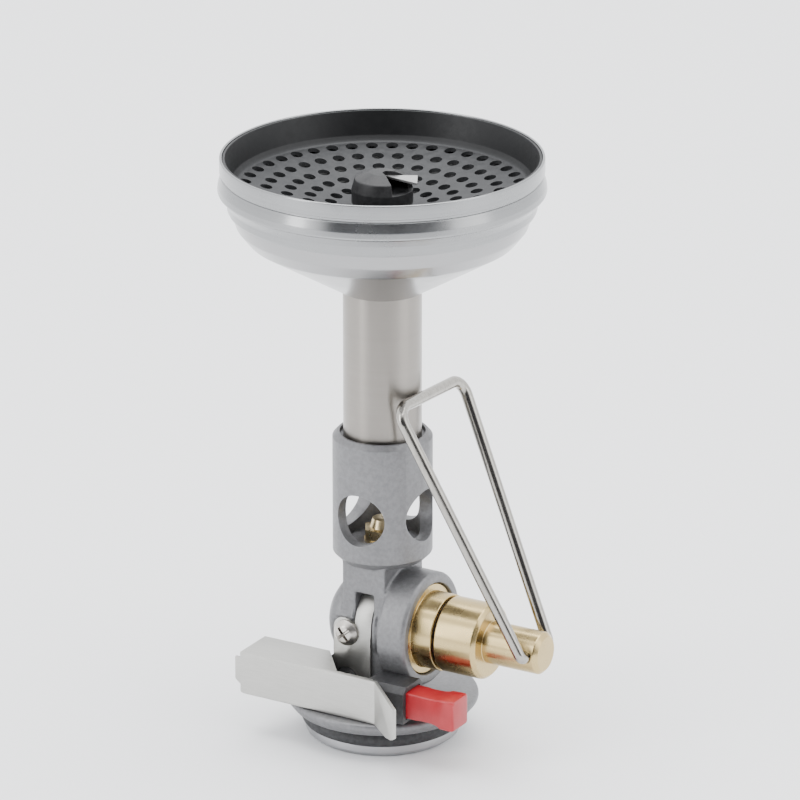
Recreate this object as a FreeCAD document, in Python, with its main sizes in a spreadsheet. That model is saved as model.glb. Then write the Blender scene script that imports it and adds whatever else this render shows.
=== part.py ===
"""Canister stove: a small regulated gas burner that screws onto a camping gas canister.

Frame: +Z runs up the mixing tube, the origin is where that axis meets the bottom of the base, and +X runs
along the regulator towards its knob. The igniter is on the -Y side. All lengths are in millimetres.
"""
import FreeCAD
import Part
import Sketcher
import math
import os
from FreeCAD import Placement, Rotation, Vector

DIMENSIONS = {
    # base and canister socket
    "flange_radius": 14.1, "flange_top": 6.3, "flange_under": 4.3, "rubber_under": 1.9,
    "ring_radius": 11.4, "rubber_radius": 12.2, "hub_radius": 9.0,
    "socket_outer_radius": 6.5, "socket_bore_radius": 5.2, "socket_depth": 6.2,
    "thread_end": 3.6, "relief_radius": 5.6, "probe_tip": 3.75, "probe_radius": 1.7, "probe_top": 8.6,
    # casting above the base
    "valve_axis_height": 17.4, "block_half_width": 5.6, "regulator_radius": 6.0,
    "ring_outer_radius": 8.45, "ring_start": 3.3, "ring_end": 8.3,
    "barrel_radius": 7.29, "barrel_bottom": 27.5, "barrel_top": 46.8, "air_hole_height": 35.0,
    "air_hole_radius": 3.9, "chamber_floor": 29.8, "chamber_radius": 5.5,
    # regulator inside the casting
    "poppet_bore_radius": 1.9, "poppet_bore_end": -4.8, "seat_start": 0.9, "seat_end": 2.4,
    "seat_radius": 2.6, "diaphragm_chamber_radius": 5.6, "diaphragm_start": 4.3,
    "diaphragm_thickness": 0.5, "bonnet_radius": 6.83, "bonnet_shoulder": 7.9,
    "bonnet_neck_radius": 5.7, "bonnet_end": 11.2, "thread_radius": 4.35,
    # spindle and handle
    "knob_radius": 5.6, "knob_end": 18.3, "stem_radius": 3.15, "stem_end": 27.2, "pivot_position": 25.4,
    "pivot_hole_radius": 0.92, "wire_radius": 0.86, "handle_length": 40.2, "handle_half_foot": 4.1,
    "handle_half_top": 9.4, "handle_bend_radius": 2.3, "handle_stop_gap": 0.15, "spindle_roll": -3.0,
    # mixing tube and head
    "tube_radius": 5.69, "tube_bore_radius": 5.19, "tube_bottom": 40.0, "tube_top": 69.0,
    "bowl_bottom": 68.4, "bowl_wall": 0.6, "head_radius": 23.5, "head_top": 88.3, "lip_radius": 23.2,
    "plate_outer_ring": 19.8, "plate_ring_step": 3.1, "plate_ring_height": 83.6, "plate_slope": 11.0,
    "plate_thickness": 0.6, "flame_hole_radius": 0.9, "hood_radius": 4.42, "hood_edge": 83.4,
    # igniter
    "sheet_thickness": 0.5, "channel_front": 12.6, "channel_left": -16.8, "channel_right": 5.95,
    "channel_bottom": 6.45, "channel_top": 13.1, "roof_right": -5.7, "lip_start": -0.9, "plate_left": -4.7,
    "plate_right": 1.4, "strip_left": -1.2, "strip_right": 1.5, "strip_pocket_height": 5.8,
    "piezo_axis_y": -9.2, "piezo_axis_height": 9.5, "piezo_radius": 2.1, "piezo_bore_radius": 1.4,
    "collar_start": 4.0, "collar_end": 10.3, "button_end": 18.3, "screw_x": -2.45, "screw_height": 16.9,
    "lead_radius": 0.6, "lead_x": -1.6, "lead_y": 4.2, "lead_exit_x": -2.56,
}

doc = FreeCAD.newDocument("canister_stove")
sheet = doc.addObject("Spreadsheet::Sheet", "Dimensions")
for row, (alias, value) in enumerate(DIMENSIONS.items(), start=1):
    sheet.set(f"A{row}", alias)
    sheet.set(f"B{row}", str(value))
    sheet.setAlias(f"B{row}", alias)
doc.recompute()


class Size:
    """A length that carries both its value and the spreadsheet formula that gives it."""

    def __init__(self, value, formula):
        self.value = value
        self.formula = formula

    def __add__(self, other):
        other = as_size(other)
        return Size(self.value + other.value, f"({self.formula} + {other.formula})")

    def __sub__(self, other):
        other = as_size(other)
        return Size(self.value - other.value, f"({self.formula} - {other.formula})")

    def __mul__(self, factor):
        return Size(self.value * factor, f"({self.formula} * {factor})")

    def __neg__(self):
        return self * -1


def as_size(number):
    if isinstance(number, Size):
        return number
    return Size(float(number), f"({number})")


class SheetSizes:
    """Reads each dimension from the spreadsheet by its alias."""

    def __getattr__(self, alias):
        return Size(float(sheet.get(alias)), f"{sheet.Name}.{alias}")


size = SheetSizes()
sub_parts = []


# ---------------------------------------------------------------- drawing helpers

def keep(thing, label):
    """Name a finished sub-part and put it on the list of pieces to write."""
    thing.Label = label
    sub_parts.append(thing)
    return thing


def new_body(label, x=0, y=0, z=0):
    body = doc.addObject("PartDesign::Body", label)
    for axis, place in zip("xyz", (x, y, z)):
        body.setExpression(f".Placement.Base.{axis}", as_size(place).formula)
    return body


def plane_of(body, role):
    return next(part for part in body.Origin.OriginFeatures if part.Role == role)


def new_sketch(body, plane, right=0, up=0, forward=0):
    """A sketch on one of the body's planes, moved right, up and forward in its own directions."""
    sketch = body.newObject("Sketcher::SketchObject", f"{body.Name}_sketch")
    sketch.AttachmentSupport = [(plane_of(body, plane), "")]
    sketch.MapMode = "FlatFace"
    for axis, shift in zip("xyz", (right, up, forward)):
        sketch.setExpression(f".AttachmentOffset.Base.{axis}", as_size(shift).formula)
    return sketch


def pin_point(sketch, edge, end, corner):
    """Tie one end of an edge to its two coordinates."""
    for kind, along in (("DistanceX", corner[0]), ("DistanceY", corner[1])):
        index = sketch.addConstraint(Sketcher.Constraint(kind, -1, 1, edge, end, along.value))
        sketch.setExpression(f"Constraints[{index}]", along.formula)


def arc_between(start, end, radius):
    """The short arc of this radius; a positive radius has its centre left of the way from start to end."""
    across = end - start
    middle = (start + end) * 0.5
    left = Vector(-across.y, across.x, 0).normalize()
    reach = math.sqrt(max(radius ** 2 - across.Length ** 2 / 4, 0))
    centre = middle + left * math.copysign(reach, radius)
    first, last = (start, end) if radius > 0 else (end, start)
    circle = Part.Circle(centre, Vector(0, 0, 1), abs(radius))
    return Part.ArcOfCircle(circle, circle.parameter(first), circle.parameter(last))


def draw_path(sketch, corners, closed=True):
    """Lines through the corners; a corner with a third number is reached by an arc of that radius."""
    corners = [tuple(as_size(number) for number in corner) for corner in corners]
    edges = []
    last = len(corners) if closed else len(corners) - 1
    for step in range(last):
        start = corners[step]
        end = corners[(step + 1) % len(corners)]
        start_at = Vector(start[0].value, start[1].value, 0)
        end_at = Vector(end[0].value, end[1].value, 0)
        if len(end) == 2:
            edges.append((sketch.addGeometry(Part.LineSegment(start_at, end_at)), 1, 2))
            continue
        turns_left = end[2].value > 0
        radius = end[2] if turns_left else -end[2]
        edge = sketch.addGeometry(arc_between(start_at, end_at, end[2].value))
        index = sketch.addConstraint(Sketcher.Constraint("Radius", edge, radius.value))
        sketch.setExpression(f"Constraints[{index}]", radius.formula)
        edges.append((edge, 1, 2) if turns_left else (edge, 2, 1))
    joined = list(zip(edges, edges[1:]))
    if closed:
        joined.append((edges[-1], edges[0]))
    for before, after in joined:
        sketch.addConstraint(Sketcher.Constraint("Coincident", before[0], before[2], after[0], after[1]))
    for (edge, first_end, _), corner in zip(edges, corners):
        pin_point(sketch, edge, first_end, corner)
    if not closed:
        pin_point(sketch, edges[-1][0], edges[-1][2], corners[-1])
    return sketch


def draw_circle(sketch, u, v, radius):
    u, v, radius = as_size(u), as_size(v), as_size(radius)
    circle = sketch.addGeometry(Part.Circle(Vector(u.value, v.value, 0), Vector(0, 0, 1), radius.value))
    index = sketch.addConstraint(Sketcher.Constraint("Radius", circle, radius.value))
    sketch.setExpression(f"Constraints[{index}]", radius.formula)
    pin_point(sketch, circle, 3, (u, v))
    return sketch


def spin(body, sketch, axis, cut=False, angle=360):
    """Revolve a sketch about its own V_Axis or H_Axis, adding to the body or cutting from it."""
    kind = "Groove" if cut else "Revolution"
    feature = body.newObject(f"PartDesign::{kind}", f"{body.Name}_{kind.lower()}")
    feature.Profile = sketch
    feature.ReferenceAxis = (sketch, [axis])
    feature.Angle = angle
    return settle(body, feature, cut)


def extrude(body, sketch, length, cut=False, both_ways=False, backwards=False):
    """Pad or pocket a sketch by a length, or through everything when a pocket has no length."""
    kind = "Pocket" if cut else "Pad"
    feature = body.newObject(f"PartDesign::{kind}", f"{body.Name}_{kind.lower()}")
    feature.Profile = sketch
    if length is None:
        feature.Type = "ThroughAll"
    else:
        feature.setExpression("Length", as_size(length).formula)
    if both_ways:
        feature.SideType = "Symmetric"
    feature.Reversed = backwards
    return settle(body, feature, cut)


def settle(body, feature, cut):
    """Recompute, and stop if a cut removed nothing or an addition added nothing."""
    before = body.Shape.Volume if body.Shape.Solids else 0.0
    body.Tip = feature
    doc.recompute()
    change = body.Shape.Volume - before
    if (cut and change > -1e-6) or (not cut and change < 1e-6):
        raise RuntimeError(f"{feature.Label} changed the volume by {change:.4f}")
    return feature


def turned(label, corners, about="V_Axis", x=0, y=0, z=0):
    """A piece turned on a lathe: its half outline spun about Z (V_Axis) or about X (H_Axis)."""
    body = new_body(label, x, y, z)
    spin(body, draw_path(new_sketch(body, "XZ_Plane"), corners), about)
    return keep(body, label)


def ring_outline(inner, outer, low, high):
    return [(inner, low), (outer, low), (outer, high), (inner, high)]


def lengthwise_ring(inner, outer, start, end):
    return [(start, inner), (end, inner), (end, outer), (start, outer)]


def o_ring(label, ring_radius, section_radius, along, x=0, y=0, z=0):
    """An O-ring about Z or X, as a Part torus."""
    torus = doc.addObject("Part::Torus", label)
    torus.setExpression("Radius1", as_size(ring_radius).formula)
    torus.setExpression("Radius2", as_size(section_radius).formula)
    turn = Rotation(Vector(0, 1, 0), 90) if along == "X" else Rotation()
    torus.Placement = Placement(Vector(), turn)
    for axis, place in zip("xyz", (x, y, z)):
        torus.setExpression(f".Placement.Base.{axis}", as_size(place).formula)
    return keep(torus, label)


def coil_spring(label, start, end, coil_radius, wire_radius, turns, y=0, z=0):
    """A compression spring along X: a round wire swept along a helix."""
    start, end, wire = as_size(start), as_size(end), as_size(wire_radius)
    free_length = end - start - wire * 2
    helix = doc.addObject("Part::Helix", f"{label}_line")
    helix.setExpression("Height", free_length.formula)
    helix.setExpression("Pitch", f"{free_length.formula} / {turns}")
    helix.setExpression("Radius", as_size(coil_radius).formula)
    wire_section = doc.addObject("Part::Circle", f"{label}_wire")
    wire_section.setExpression("Radius", wire.formula)
    lay_down = Rotation(Vector(0, 1, 0), 90)
    helix.Placement = Placement(Vector(), lay_down)
    along_wire = Rotation(Vector(0, 0, 1), Vector(0, 1, 0))
    wire_section.Placement = Placement(Vector(), along_wire)
    for axis, place in zip("xyz", (start + wire, y, z)):
        helix.setExpression(f".Placement.Base.{axis}", as_size(place).formula)
    for axis, place in zip("xyz", (start + wire, y, as_size(z) - coil_radius)):
        wire_section.setExpression(f".Placement.Base.{axis}", as_size(place).formula)
    sweep = doc.addObject("Part::Sweep", label)
    sweep.Sections = [wire_section]
    sweep.Spine = (helix, [])
    sweep.Solid = True
    sweep.Frenet = True
    return keep(sweep, label)


def rounded_route(points, radii):
    """Straight runs through the points, joined by tangent arcs of the given radii."""
    edges = []
    begin = points[0]
    for corner, before, after, radius in zip(points[1:-1], points[:-2], points[2:], radii):
        back = (before - corner).normalize()
        ahead = (after - corner).normalize()
        half_turn = back.getAngle(ahead) / 2
        trim = radius / math.tan(half_turn)
        towards = (back + ahead).normalize()
        arc_middle = corner + towards * (radius / math.sin(half_turn) - radius)
        arc_start, arc_end = corner + back * trim, corner + ahead * trim
        edges.append(Part.LineSegment(begin, arc_start).toShape())
        edges.append(Part.Arc(arc_start, arc_middle, arc_end).toShape())
        begin = arc_end
    edges.append(Part.LineSegment(begin, points[-1]).toShape())
    return Part.Wire(edges)


def tube_along(route, first_direction, radius):
    circle = Part.Circle(route.Vertexes[0].Point, first_direction, radius)
    return route.makePipeShell([Part.Wire([circle.toShape()])], True, False)


# ---------------------------------------------------------------- base and canister socket

def make_base():
    turned("base_ring", [
        (size.socket_outer_radius, 0), (size.ring_radius - 0.9, 0), (size.ring_radius, 0.7),
        (size.ring_radius, size.rubber_under), (size.socket_outer_radius, size.rubber_under)])
    edge = 0.6
    turned("base_rubber_ring", [
        (size.hub_radius, size.rubber_under), (size.rubber_radius - edge, size.rubber_under),
        (size.rubber_radius, size.rubber_under + edge, edge), (size.rubber_radius, size.flange_under - edge),
        (size.rubber_radius - edge, size.flange_under, edge), (size.hub_radius, size.flange_under)])
    # threaded wall first, then the thread's relief with the seal at its end
    turned("canister_socket", [
        (size.socket_bore_radius, 0), (size.socket_outer_radius, 0),
        (size.socket_outer_radius, size.socket_depth), (size.relief_radius, size.socket_depth),
        (size.relief_radius, size.thread_end),
        (size.socket_bore_radius, size.thread_end)])
    seal_section = 0.8
    o_ring("canister_seal", 3.4, seal_section, "Z", z=size.socket_depth - seal_section)
    collar_radius, collar_depth = 2.55, 0.6
    filter_radius, filter_depth = 1.2, 1.3
    turned("valve_probe", [
        (0.5, size.probe_tip), (0.9, size.probe_tip + 0.3), (0.9, size.socket_depth - collar_depth),
        (collar_radius, size.socket_depth - collar_depth), (collar_radius, size.socket_depth),
        (size.probe_radius, size.socket_depth), (size.probe_radius, size.probe_top),
        (filter_radius, size.probe_top), (filter_radius, size.probe_top - filter_depth),
        (0.5, size.probe_top - filter_depth)])
    turned("inlet_filter", ring_outline(0, filter_radius - 0.02, size.probe_top - filter_depth + 0.02,
                                        size.probe_top - 0.05))


# ---------------------------------------------------------------- casting

def lead_route():
    """The spark lead's way: out of the igniter's back, through the casting, up the tube to the electrode."""
    exit_x, axis_y, height = size.lead_exit_x.value, size.piezo_axis_y.value, size.piezo_axis_height.value
    rise_x, rise_y = size.lead_x.value, size.lead_y.value
    points = [
        Vector(exit_x, axis_y + 2.4, height), Vector(rise_x, rise_y, height), Vector(rise_x, rise_y, 60),
        Vector(0, 0, 69), Vector(0, 0, 75)]
    return rounded_route(points, [2.0, 17, 11])


def lead_tube(radius):
    route = lead_route()
    start, end = route.Edges[0].Vertexes
    return tube_along(route, end.Point - start.Point, radius)


def make_casting():
    body = new_body("casting_body")
    half_width = size.block_half_width
    # flange and hub, with the bore that takes the brass socket
    flange = draw_path(new_sketch(body, "XZ_Plane"), [
        (size.socket_outer_radius, size.rubber_under), (size.hub_radius, size.rubber_under),
        (size.hub_radius, size.flange_under), (size.flange_radius - 0.9, size.flange_under),
        (size.flange_radius, size.flange_under + 1.1), (size.flange_radius, size.flange_top - 0.5),
        (size.flange_radius - 0.5, size.flange_top, 0.5), (0, size.flange_top),
        (0, size.socket_depth), (size.socket_outer_radius, size.socket_depth)])
    spin(body, flange, "V_Axis")
    # the block below the regulator and the neck above it
    block = draw_path(new_sketch(body, "XZ_Plane"), [
        (-5.2, size.flange_top - 0.05), (3.6, size.flange_top - 0.05), (3.6, size.valve_axis_height),
        (3.5, size.valve_axis_height), (3.5, size.barrel_bottom + 1), (-3.57, size.barrel_bottom + 1),
        (-3.57, size.valve_axis_height), (-5.2, size.valve_axis_height)])
    extrude(body, block, half_width * 2, both_ways=True)
    # the regulator's round housing, with its rounded end, the strip's groove and the ring round the bonnet
    ridge = size.regulator_radius + 0.4
    groove = half_width
    housing = draw_path(new_sketch(body, "XZ_Plane", up=size.valve_axis_height), [
        (-7.1, 0), (-7.1, 2.6), (-6.3, 4.6, -2.6), (-4.4, size.regulator_radius, -2.2),
        (size.strip_left - 0.9, size.regulator_radius), (size.strip_left - 0.8, ridge),
        (size.strip_left - 0.25, ridge), (size.strip_left - 0.15, groove), (size.strip_right + 0.15, groove),
        (size.strip_right + 0.25, ridge), (size.strip_right + 0.8, ridge),
        (size.strip_right + 1.0, size.regulator_radius), (size.ring_start, size.regulator_radius + 0.7),
        (size.ring_start + 0.5, size.ring_outer_radius), (size.ring_end - 0.4, size.ring_outer_radius),
        (size.ring_end, size.ring_outer_radius - 0.4), (size.ring_end, 0)])
    spin(body, housing, "H_Axis")
    # barrel
    barrel = draw_path(new_sketch(body, "XZ_Plane"), [
        (0, size.barrel_bottom), (size.barrel_radius - 1.1, size.barrel_bottom),
        (size.barrel_radius, size.barrel_bottom + 1.1), (size.barrel_radius, size.barrel_top - 0.8),
        (size.barrel_radius - 0.7, size.barrel_top), (size.tube_radius + 0.5, size.barrel_top),
        (size.tube_radius + 0.5, size.barrel_top - 0.7), (size.tube_radius + 0.02, size.barrel_top - 0.7),
        (size.tube_radius + 0.02, size.tube_bottom), (size.chamber_radius, size.tube_bottom),
        (size.chamber_radius, size.chamber_floor), (0, size.chamber_floor)])
    spin(body, barrel, "V_Axis")
    for plane in ("XZ_Plane", "YZ_Plane"):
        hole = draw_circle(new_sketch(body, plane), 0, size.air_hole_height, size.air_hole_radius)
        extrude(body, hole, size.barrel_radius * 3, cut=True, both_ways=True)
    # regulator bores, machined from the knob side
    bores = draw_path(new_sketch(body, "XZ_Plane", up=size.valve_axis_height), [
        (size.poppet_bore_end, 0), (size.poppet_bore_end, size.poppet_bore_radius),
        (size.seat_start, size.poppet_bore_radius), (size.seat_start, size.seat_radius),
        (size.seat_end, size.seat_radius), (size.seat_end, size.diaphragm_chamber_radius),
        (size.diaphragm_start, size.diaphragm_chamber_radius),
        (size.diaphragm_start, size.bonnet_radius + 0.02),
        (size.ring_end + 0.1, size.bonnet_radius + 0.02), (size.ring_end + 0.1, 0)])
    spin(body, bores, "H_Axis", cut=True)
    # gas inlet from the socket, and gas outlet up to the jet
    inlet_top = size.valve_axis_height - 1.4
    inlet = draw_path(new_sketch(body, "XZ_Plane"), [
        (0, size.socket_depth - 0.1), (size.probe_radius, size.socket_depth - 0.1),
        (size.probe_radius, size.probe_top), (1.15, size.probe_top), (1.15, inlet_top), (0, inlet_top)])
    spin(body, inlet, "V_Axis", cut=True)
    outlet_height = size.valve_axis_height + 4.1
    outlet = draw_path(new_sketch(body, "XZ_Plane"), [
        (0, outlet_height - 0.6), (0.7, outlet_height - 0.6), (0.7, 26.4), (1.9, 26.4),
        (1.9, size.chamber_floor + 0.1), (0, size.chamber_floor + 0.1)])
    spin(body, outlet, "V_Axis", cut=True)
    crossing = draw_circle(new_sketch(body, "YZ_Plane"), 0, outlet_height, 0.55)
    extrude(body, crossing, size.seat_end + 0.1, cut=True, backwards=True)
    # flat seat and pocket for the igniter bracket
    seat = draw_path(new_sketch(body, "XZ_Plane", forward=half_width), [
        (size.plate_left - 0.25, size.flange_top), (size.plate_right + 0.2, size.flange_top),
        (size.plate_right + 0.2, size.valve_axis_height), (size.strip_right + 0.15, size.valve_axis_height),
        (size.strip_right + 0.15, 19.0), (size.plate_left - 0.25, 19.0)])
    extrude(body, seat, 3, cut=True, backwards=True)
    return body


def cut_casting(body):
    """The strip's pocket round the housing, the screw's hole and the lead's passage."""
    screw_hole = doc.addObject("Part::Cylinder", "screw_hole")
    screw_hole.Radius = 1.0
    screw_hole.Height = 4.7
    screw_hole.Placement = Placement(Vector(0, -7.6, 0), Rotation(Vector(1, 0, 0), -90))
    screw_hole.setExpression(".Placement.Base.x", size.screw_x.formula)
    screw_hole.setExpression(".Placement.Base.z", size.screw_height.formula)
    pocket_block = doc.addObject("Part::Box", "strip_pocket_block")
    pocket_block.setExpression("Length", (size.strip_right - size.strip_left + 0.3).formula)
    pocket_block.Width = 7
    pocket_block.setExpression("Height", size.strip_pocket_height.formula)
    housing_core = doc.addObject("Part::Cylinder", "strip_pocket_core")
    housing_core.setExpression("Radius", size.block_half_width.formula)
    housing_core.Height = 12
    housing_core.Placement = Placement(Vector(), Rotation(Vector(0, 1, 0), 90))
    pocket_places = ((pocket_block, size.strip_left - 0.15, -9), (housing_core, size.strip_left - 4, 0))
    for shape, x, y in pocket_places:
        for axis, place in zip("xyz", (x, y, size.valve_axis_height)):
            shape.setExpression(f".Placement.Base.{axis}", as_size(place).formula)
    pocket = doc.addObject("Part::Cut", "strip_pocket")
    pocket.Base = pocket_block
    pocket.Tool = housing_core
    passage = doc.addObject("Part::Feature", "lead_passage")
    passage.Shape = lead_tube(size.lead_radius.value + 0.15)
    tools = doc.addObject("Part::MultiFuse", "casting_cuts")
    tools.Shapes = [screw_hole, pocket, passage]
    casting = doc.addObject("Part::Cut", "valve_casting")
    casting.Base = body
    casting.Tool = tools
    return keep(casting, "valve_casting")


# ---------------------------------------------------------------- regulator

def make_regulator():
    axis = size.valve_axis_height
    wall = size.diaphragm_start + size.diaphragm_thickness
    turned("valve_seat", [
        (size.seat_start, 0.9), (size.seat_end, 0.9), (size.seat_end, size.seat_radius),
        (size.seat_start, size.seat_radius)], "H_Axis", z=axis)
    turned("poppet", [
        (-1.4, 0), (-1.4, 1.3), (size.seat_start - 0.02, 1.3), (size.seat_start - 0.02, 0.6),
        (size.diaphragm_start - 0.82, 0.6), (size.diaphragm_start - 0.82, 0)], "H_Axis", z=axis)
    coil_spring("poppet_spring", size.poppet_bore_end + 0.02, -1.42, 1.1, 0.18, 5, z=axis)
    skin = lengthwise_ring(1.25, size.bonnet_radius, size.diaphragm_start, wall)
    turned("diaphragm", skin, "H_Axis", z=axis)
    turned("diaphragm_plate", [
        (size.diaphragm_start - 0.8, 0), (size.diaphragm_start - 0.8, 1.2), (wall + 0.02, 1.2),
        (wall + 0.02, 3.8), (wall + 0.7, 3.8), (wall + 0.7, 0)], "H_Axis", z=axis)
    turned("bonnet", [
        (wall, 5.0), (size.bonnet_shoulder, 5.0), (size.bonnet_shoulder, size.thread_radius),
        (size.bonnet_end - 0.8, size.thread_radius), (size.bonnet_end - 0.8, 5.05), (size.bonnet_end, 5.05),
        (size.bonnet_end, size.bonnet_neck_radius), (size.bonnet_shoulder + 0.02, size.bonnet_neck_radius),
        (size.bonnet_shoulder, size.bonnet_radius - 0.25), (size.bonnet_shoulder - 0.25, size.bonnet_radius),
        (wall, size.bonnet_radius)], "H_Axis", z=axis)
    coil_spring("regulator_spring", wall + 0.72, 13.58, 2.7, 0.35, 6, z=axis)
    turned("spring_seat", [
        (13.6, 0), (13.6, 3.3), (14.3, 3.3), (14.5, 1.4), (14.98, 1.0), (14.98, 0)], "H_Axis", z=axis)


# ---------------------------------------------------------------- spindle and handle

def make_spindle():
    shank = size.thread_radius - 0.05
    body = new_body("spindle", z=size.valve_axis_height)
    outline = draw_path(new_sketch(body, "XZ_Plane"), [
        (6.5, 3.4), (6.5, shank), (6.75, shank), (6.75, shank - 0.4), (7.4, shank - 0.4), (7.4, shank),
        (size.bonnet_end + 0.3, shank), (size.bonnet_end + 0.3, size.knob_radius - 0.25),
        (size.bonnet_end + 0.55, size.knob_radius), (size.knob_end - 0.6, size.knob_radius),
        (size.knob_end, size.knob_radius - 0.6, -0.6), (size.knob_end, size.stem_radius),
        (size.stem_end - 0.7, size.stem_radius), (size.stem_end, size.stem_radius - 0.7, -0.8),
        (size.stem_end, 0), (15.0, 0), (15.0, 3.4)])
    spin(body, outline, "H_Axis")
    hole = draw_circle(new_sketch(body, "XZ_Plane"), size.pivot_position, 0, size.pivot_hole_radius)
    extrude(body, hole, size.stem_radius * 3, cut=True, both_ways=True)
    hole = draw_circle(new_sketch(body, "XY_Plane", forward=-size.stem_radius - 1), size.pivot_position, 0,
                       size.pivot_hole_radius)
    extrude(body, hole, size.stem_radius + 1, cut=True, backwards=True)
    body.Placement.Rotation = Rotation(Vector(1, 0, 0), size.spindle_roll.value)
    keep(body, "spindle")
    o_ring("spindle_o_ring", shank + 0.38, 0.34, "X", x=size.bonnet_end - 0.4, z=size.valve_axis_height)
    ring = turned("spindle_stop_ring", lengthwise_ring(shank - 0.4, shank + 0.5, 6.8, 7.35), "H_Axis",
                  z=size.valve_axis_height)
    gap = draw_path(new_sketch(ring, "XZ_Plane"), [(6, 3), (8, 3), (8, 6), (6, 6)])
    extrude(ring, gap, 2.4, cut=True, both_ways=True)


def make_handle():
    """A wire loop whose two feet turn inwards into the stem's cross hole; it leans on the mixing tube."""
    body = new_body("handle", x=size.pivot_position, z=size.valve_axis_height)
    foot, top = size.handle_half_foot.value, size.handle_half_top.value
    length = size.handle_length.value
    foot_end, foot_bend = 1.3, 1.0
    lean = math.atan2(top - foot, length)
    bend = size.handle_bend_radius.value
    foot_trim = foot_bend / math.tan((math.pi / 2 + lean) / 2)
    top_trim = bend / math.tan((math.pi / 2 - lean) / 2)
    leg = (math.sin(lean), math.cos(lean))
    half = [
        (foot_end, 0), (foot - foot_trim, 0), (foot + leg[0] * foot_trim, leg[1] * foot_trim, foot_bend),
        (top - leg[0] * top_trim, length - leg[1] * top_trim), (top - top_trim, length, bend)]
    mirrored = [(-half[4][0], half[4][1]), (-half[3][0], half[3][1], bend),
                (-half[2][0], half[2][1]), (-half[1][0], half[1][1], foot_bend), (-half[0][0], half[0][1])]
    path = draw_path(new_sketch(body, "YZ_Plane"), half + mirrored, closed=False)
    section = draw_circle(new_sketch(body, "XZ_Plane", forward=-foot_end), 0, 0, size.wire_radius)
    pipe = body.newObject("PartDesign::AdditivePipe", "handle_wire")
    pipe.Profile = section
    pipe.Spine = (path, [])
    settle(body, pipe, cut=False)
    reach = size.pivot_position.value - size.tube_radius.value - size.wire_radius.value
    tilt = math.degrees(math.asin((reach - size.handle_stop_gap.value) / length))
    body.Placement.Rotation = (Rotation(Vector(1, 0, 0), size.spindle_roll.value)
                               * Rotation(Vector(0, 1, 0), -tilt))
    print(f"handle: leans {tilt:.2f} degrees from the vertical")
    return keep(body, "handle")


# ---------------------------------------------------------------- jet, tube and head

def make_jet_and_tube():
    floor = size.chamber_floor
    body = new_body("gas_jet")
    orifice, passage, shank, head = 0.2, 0.7, 1.88, 3.0
    seat = floor + 0.4
    outline = draw_path(new_sketch(body, "XZ_Plane"), [
        (passage, 26.6), (shank, 26.6), (shank, seat), (head, seat), (head, floor + 2.0),
        (shank, floor + 2.1), (1.5, floor + 3.4), (0.8, floor + 3.5), (orifice, floor + 3.5),
        (orifice, floor + 2.9), (passage, floor + 2.5)])
    spin(body, outline, "V_Axis")
    flats = new_sketch(body, "XY_Plane", forward=seat)
    draw_circle(flats, 0, 0, head + 1)
    corner = head - 0.1
    draw_path(flats, [(corner * math.cos(math.pi / 3 * side), corner * math.sin(math.pi / 3 * side))
                      for side in range(6)])
    extrude(body, flats, 1.7, cut=True, backwards=True)
    keep(body, "gas_jet")
    turned("jet_washer", ring_outline(shank + 0.04, 2.7, floor, seat - 0.02))
    turned("mixing_tube", ring_outline(size.tube_bore_radius, size.tube_radius, size.tube_bottom,
                                       size.tube_top))


def make_bowl():
    low = size.bowl_bottom
    neck = size.tube_radius + 0.02
    wall = size.bowl_wall
    turned("burner_bowl", [
        (neck, low), (neck + 0.25, low), (19.4, low + 8.0), (21.2, low + 10.3, 4.5), (21.6, low + 12.0, 6.0),
        (21.6, 82.8), (21.6 - wall.value, 82.8), (21.6 - wall.value, low + 12.1),
        (20.65, low + 10.6, -5.4), (18.95, low + 8.5, -3.9), (neck, low + 0.75)])
    turned("burner_rim", [
        (21.62, 80.3), (22.15, 80.9), (size.head_radius, 83.5, -4.3), (size.head_radius, 84.9),
        (22.95, 86.0, -1.6), (22.95, 86.1), (size.lip_radius, 86.3), (size.lip_radius, size.head_top - 0.2),
        (size.lip_radius - 0.2, size.head_top, 0.2), (22.95, size.head_top), (22.8, size.head_top - 0.2),
        (22.77, 87.6), (21.97, 84.4), (21.62, 83.6)])


def make_plate():
    """The perforated burner plate: a shallow dished cone with a turned-up wall."""
    slope = math.tan(math.radians(size.plate_slope.value))
    ring = size.plate_outer_ring
    thick = size.plate_thickness
    top = size.plate_ring_height
    floor_radius, dish_radius = 5.0, 20.9
    drop = (ring.value - floor_radius) * slope
    edge_rise = (dish_radius - ring.value) * slope
    body = new_body("burner_plate")
    outline = draw_path(new_sketch(body, "XZ_Plane"), [
        (1.7, top - drop - thick), (floor_radius, top - drop - thick), (dish_radius, top + edge_rise - thick),
        (21.94, 84.45), (22.74, 87.6), (22.34, 87.6), (21.5, 84.7), (dish_radius, top + edge_rise),
        (floor_radius, top - drop), (1.7, top - drop)])
    spin(body, outline, "V_Axis")
    # five rings of flame holes, one more hole for each sector in every ring outwards
    sectors, rings = 6, 5
    for step in range(rings):
        count = sectors * (rings + 2 - step)
        turn = math.radians(4.6 if step == 0 else 2.4)
        reach = ring - size.plate_ring_step * step
        sketch = draw_circle(new_sketch(body, "XY_Plane", forward=90), reach * math.cos(turn),
                             reach * math.sin(turn), size.flame_hole_radius)
        hole = extrude(body, sketch, 12, cut=True)
        pattern = body.newObject("PartDesign::PolarPattern", f"flame_ring_{step + 1}")
        pattern.Originals = [hole]
        pattern.Axis = (sketch, ["N_Axis"])
        pattern.Angle = 360
        pattern.Occurrences = count
        settle(body, pattern, cut=True)
    return keep(body, "burner_plate")


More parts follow.
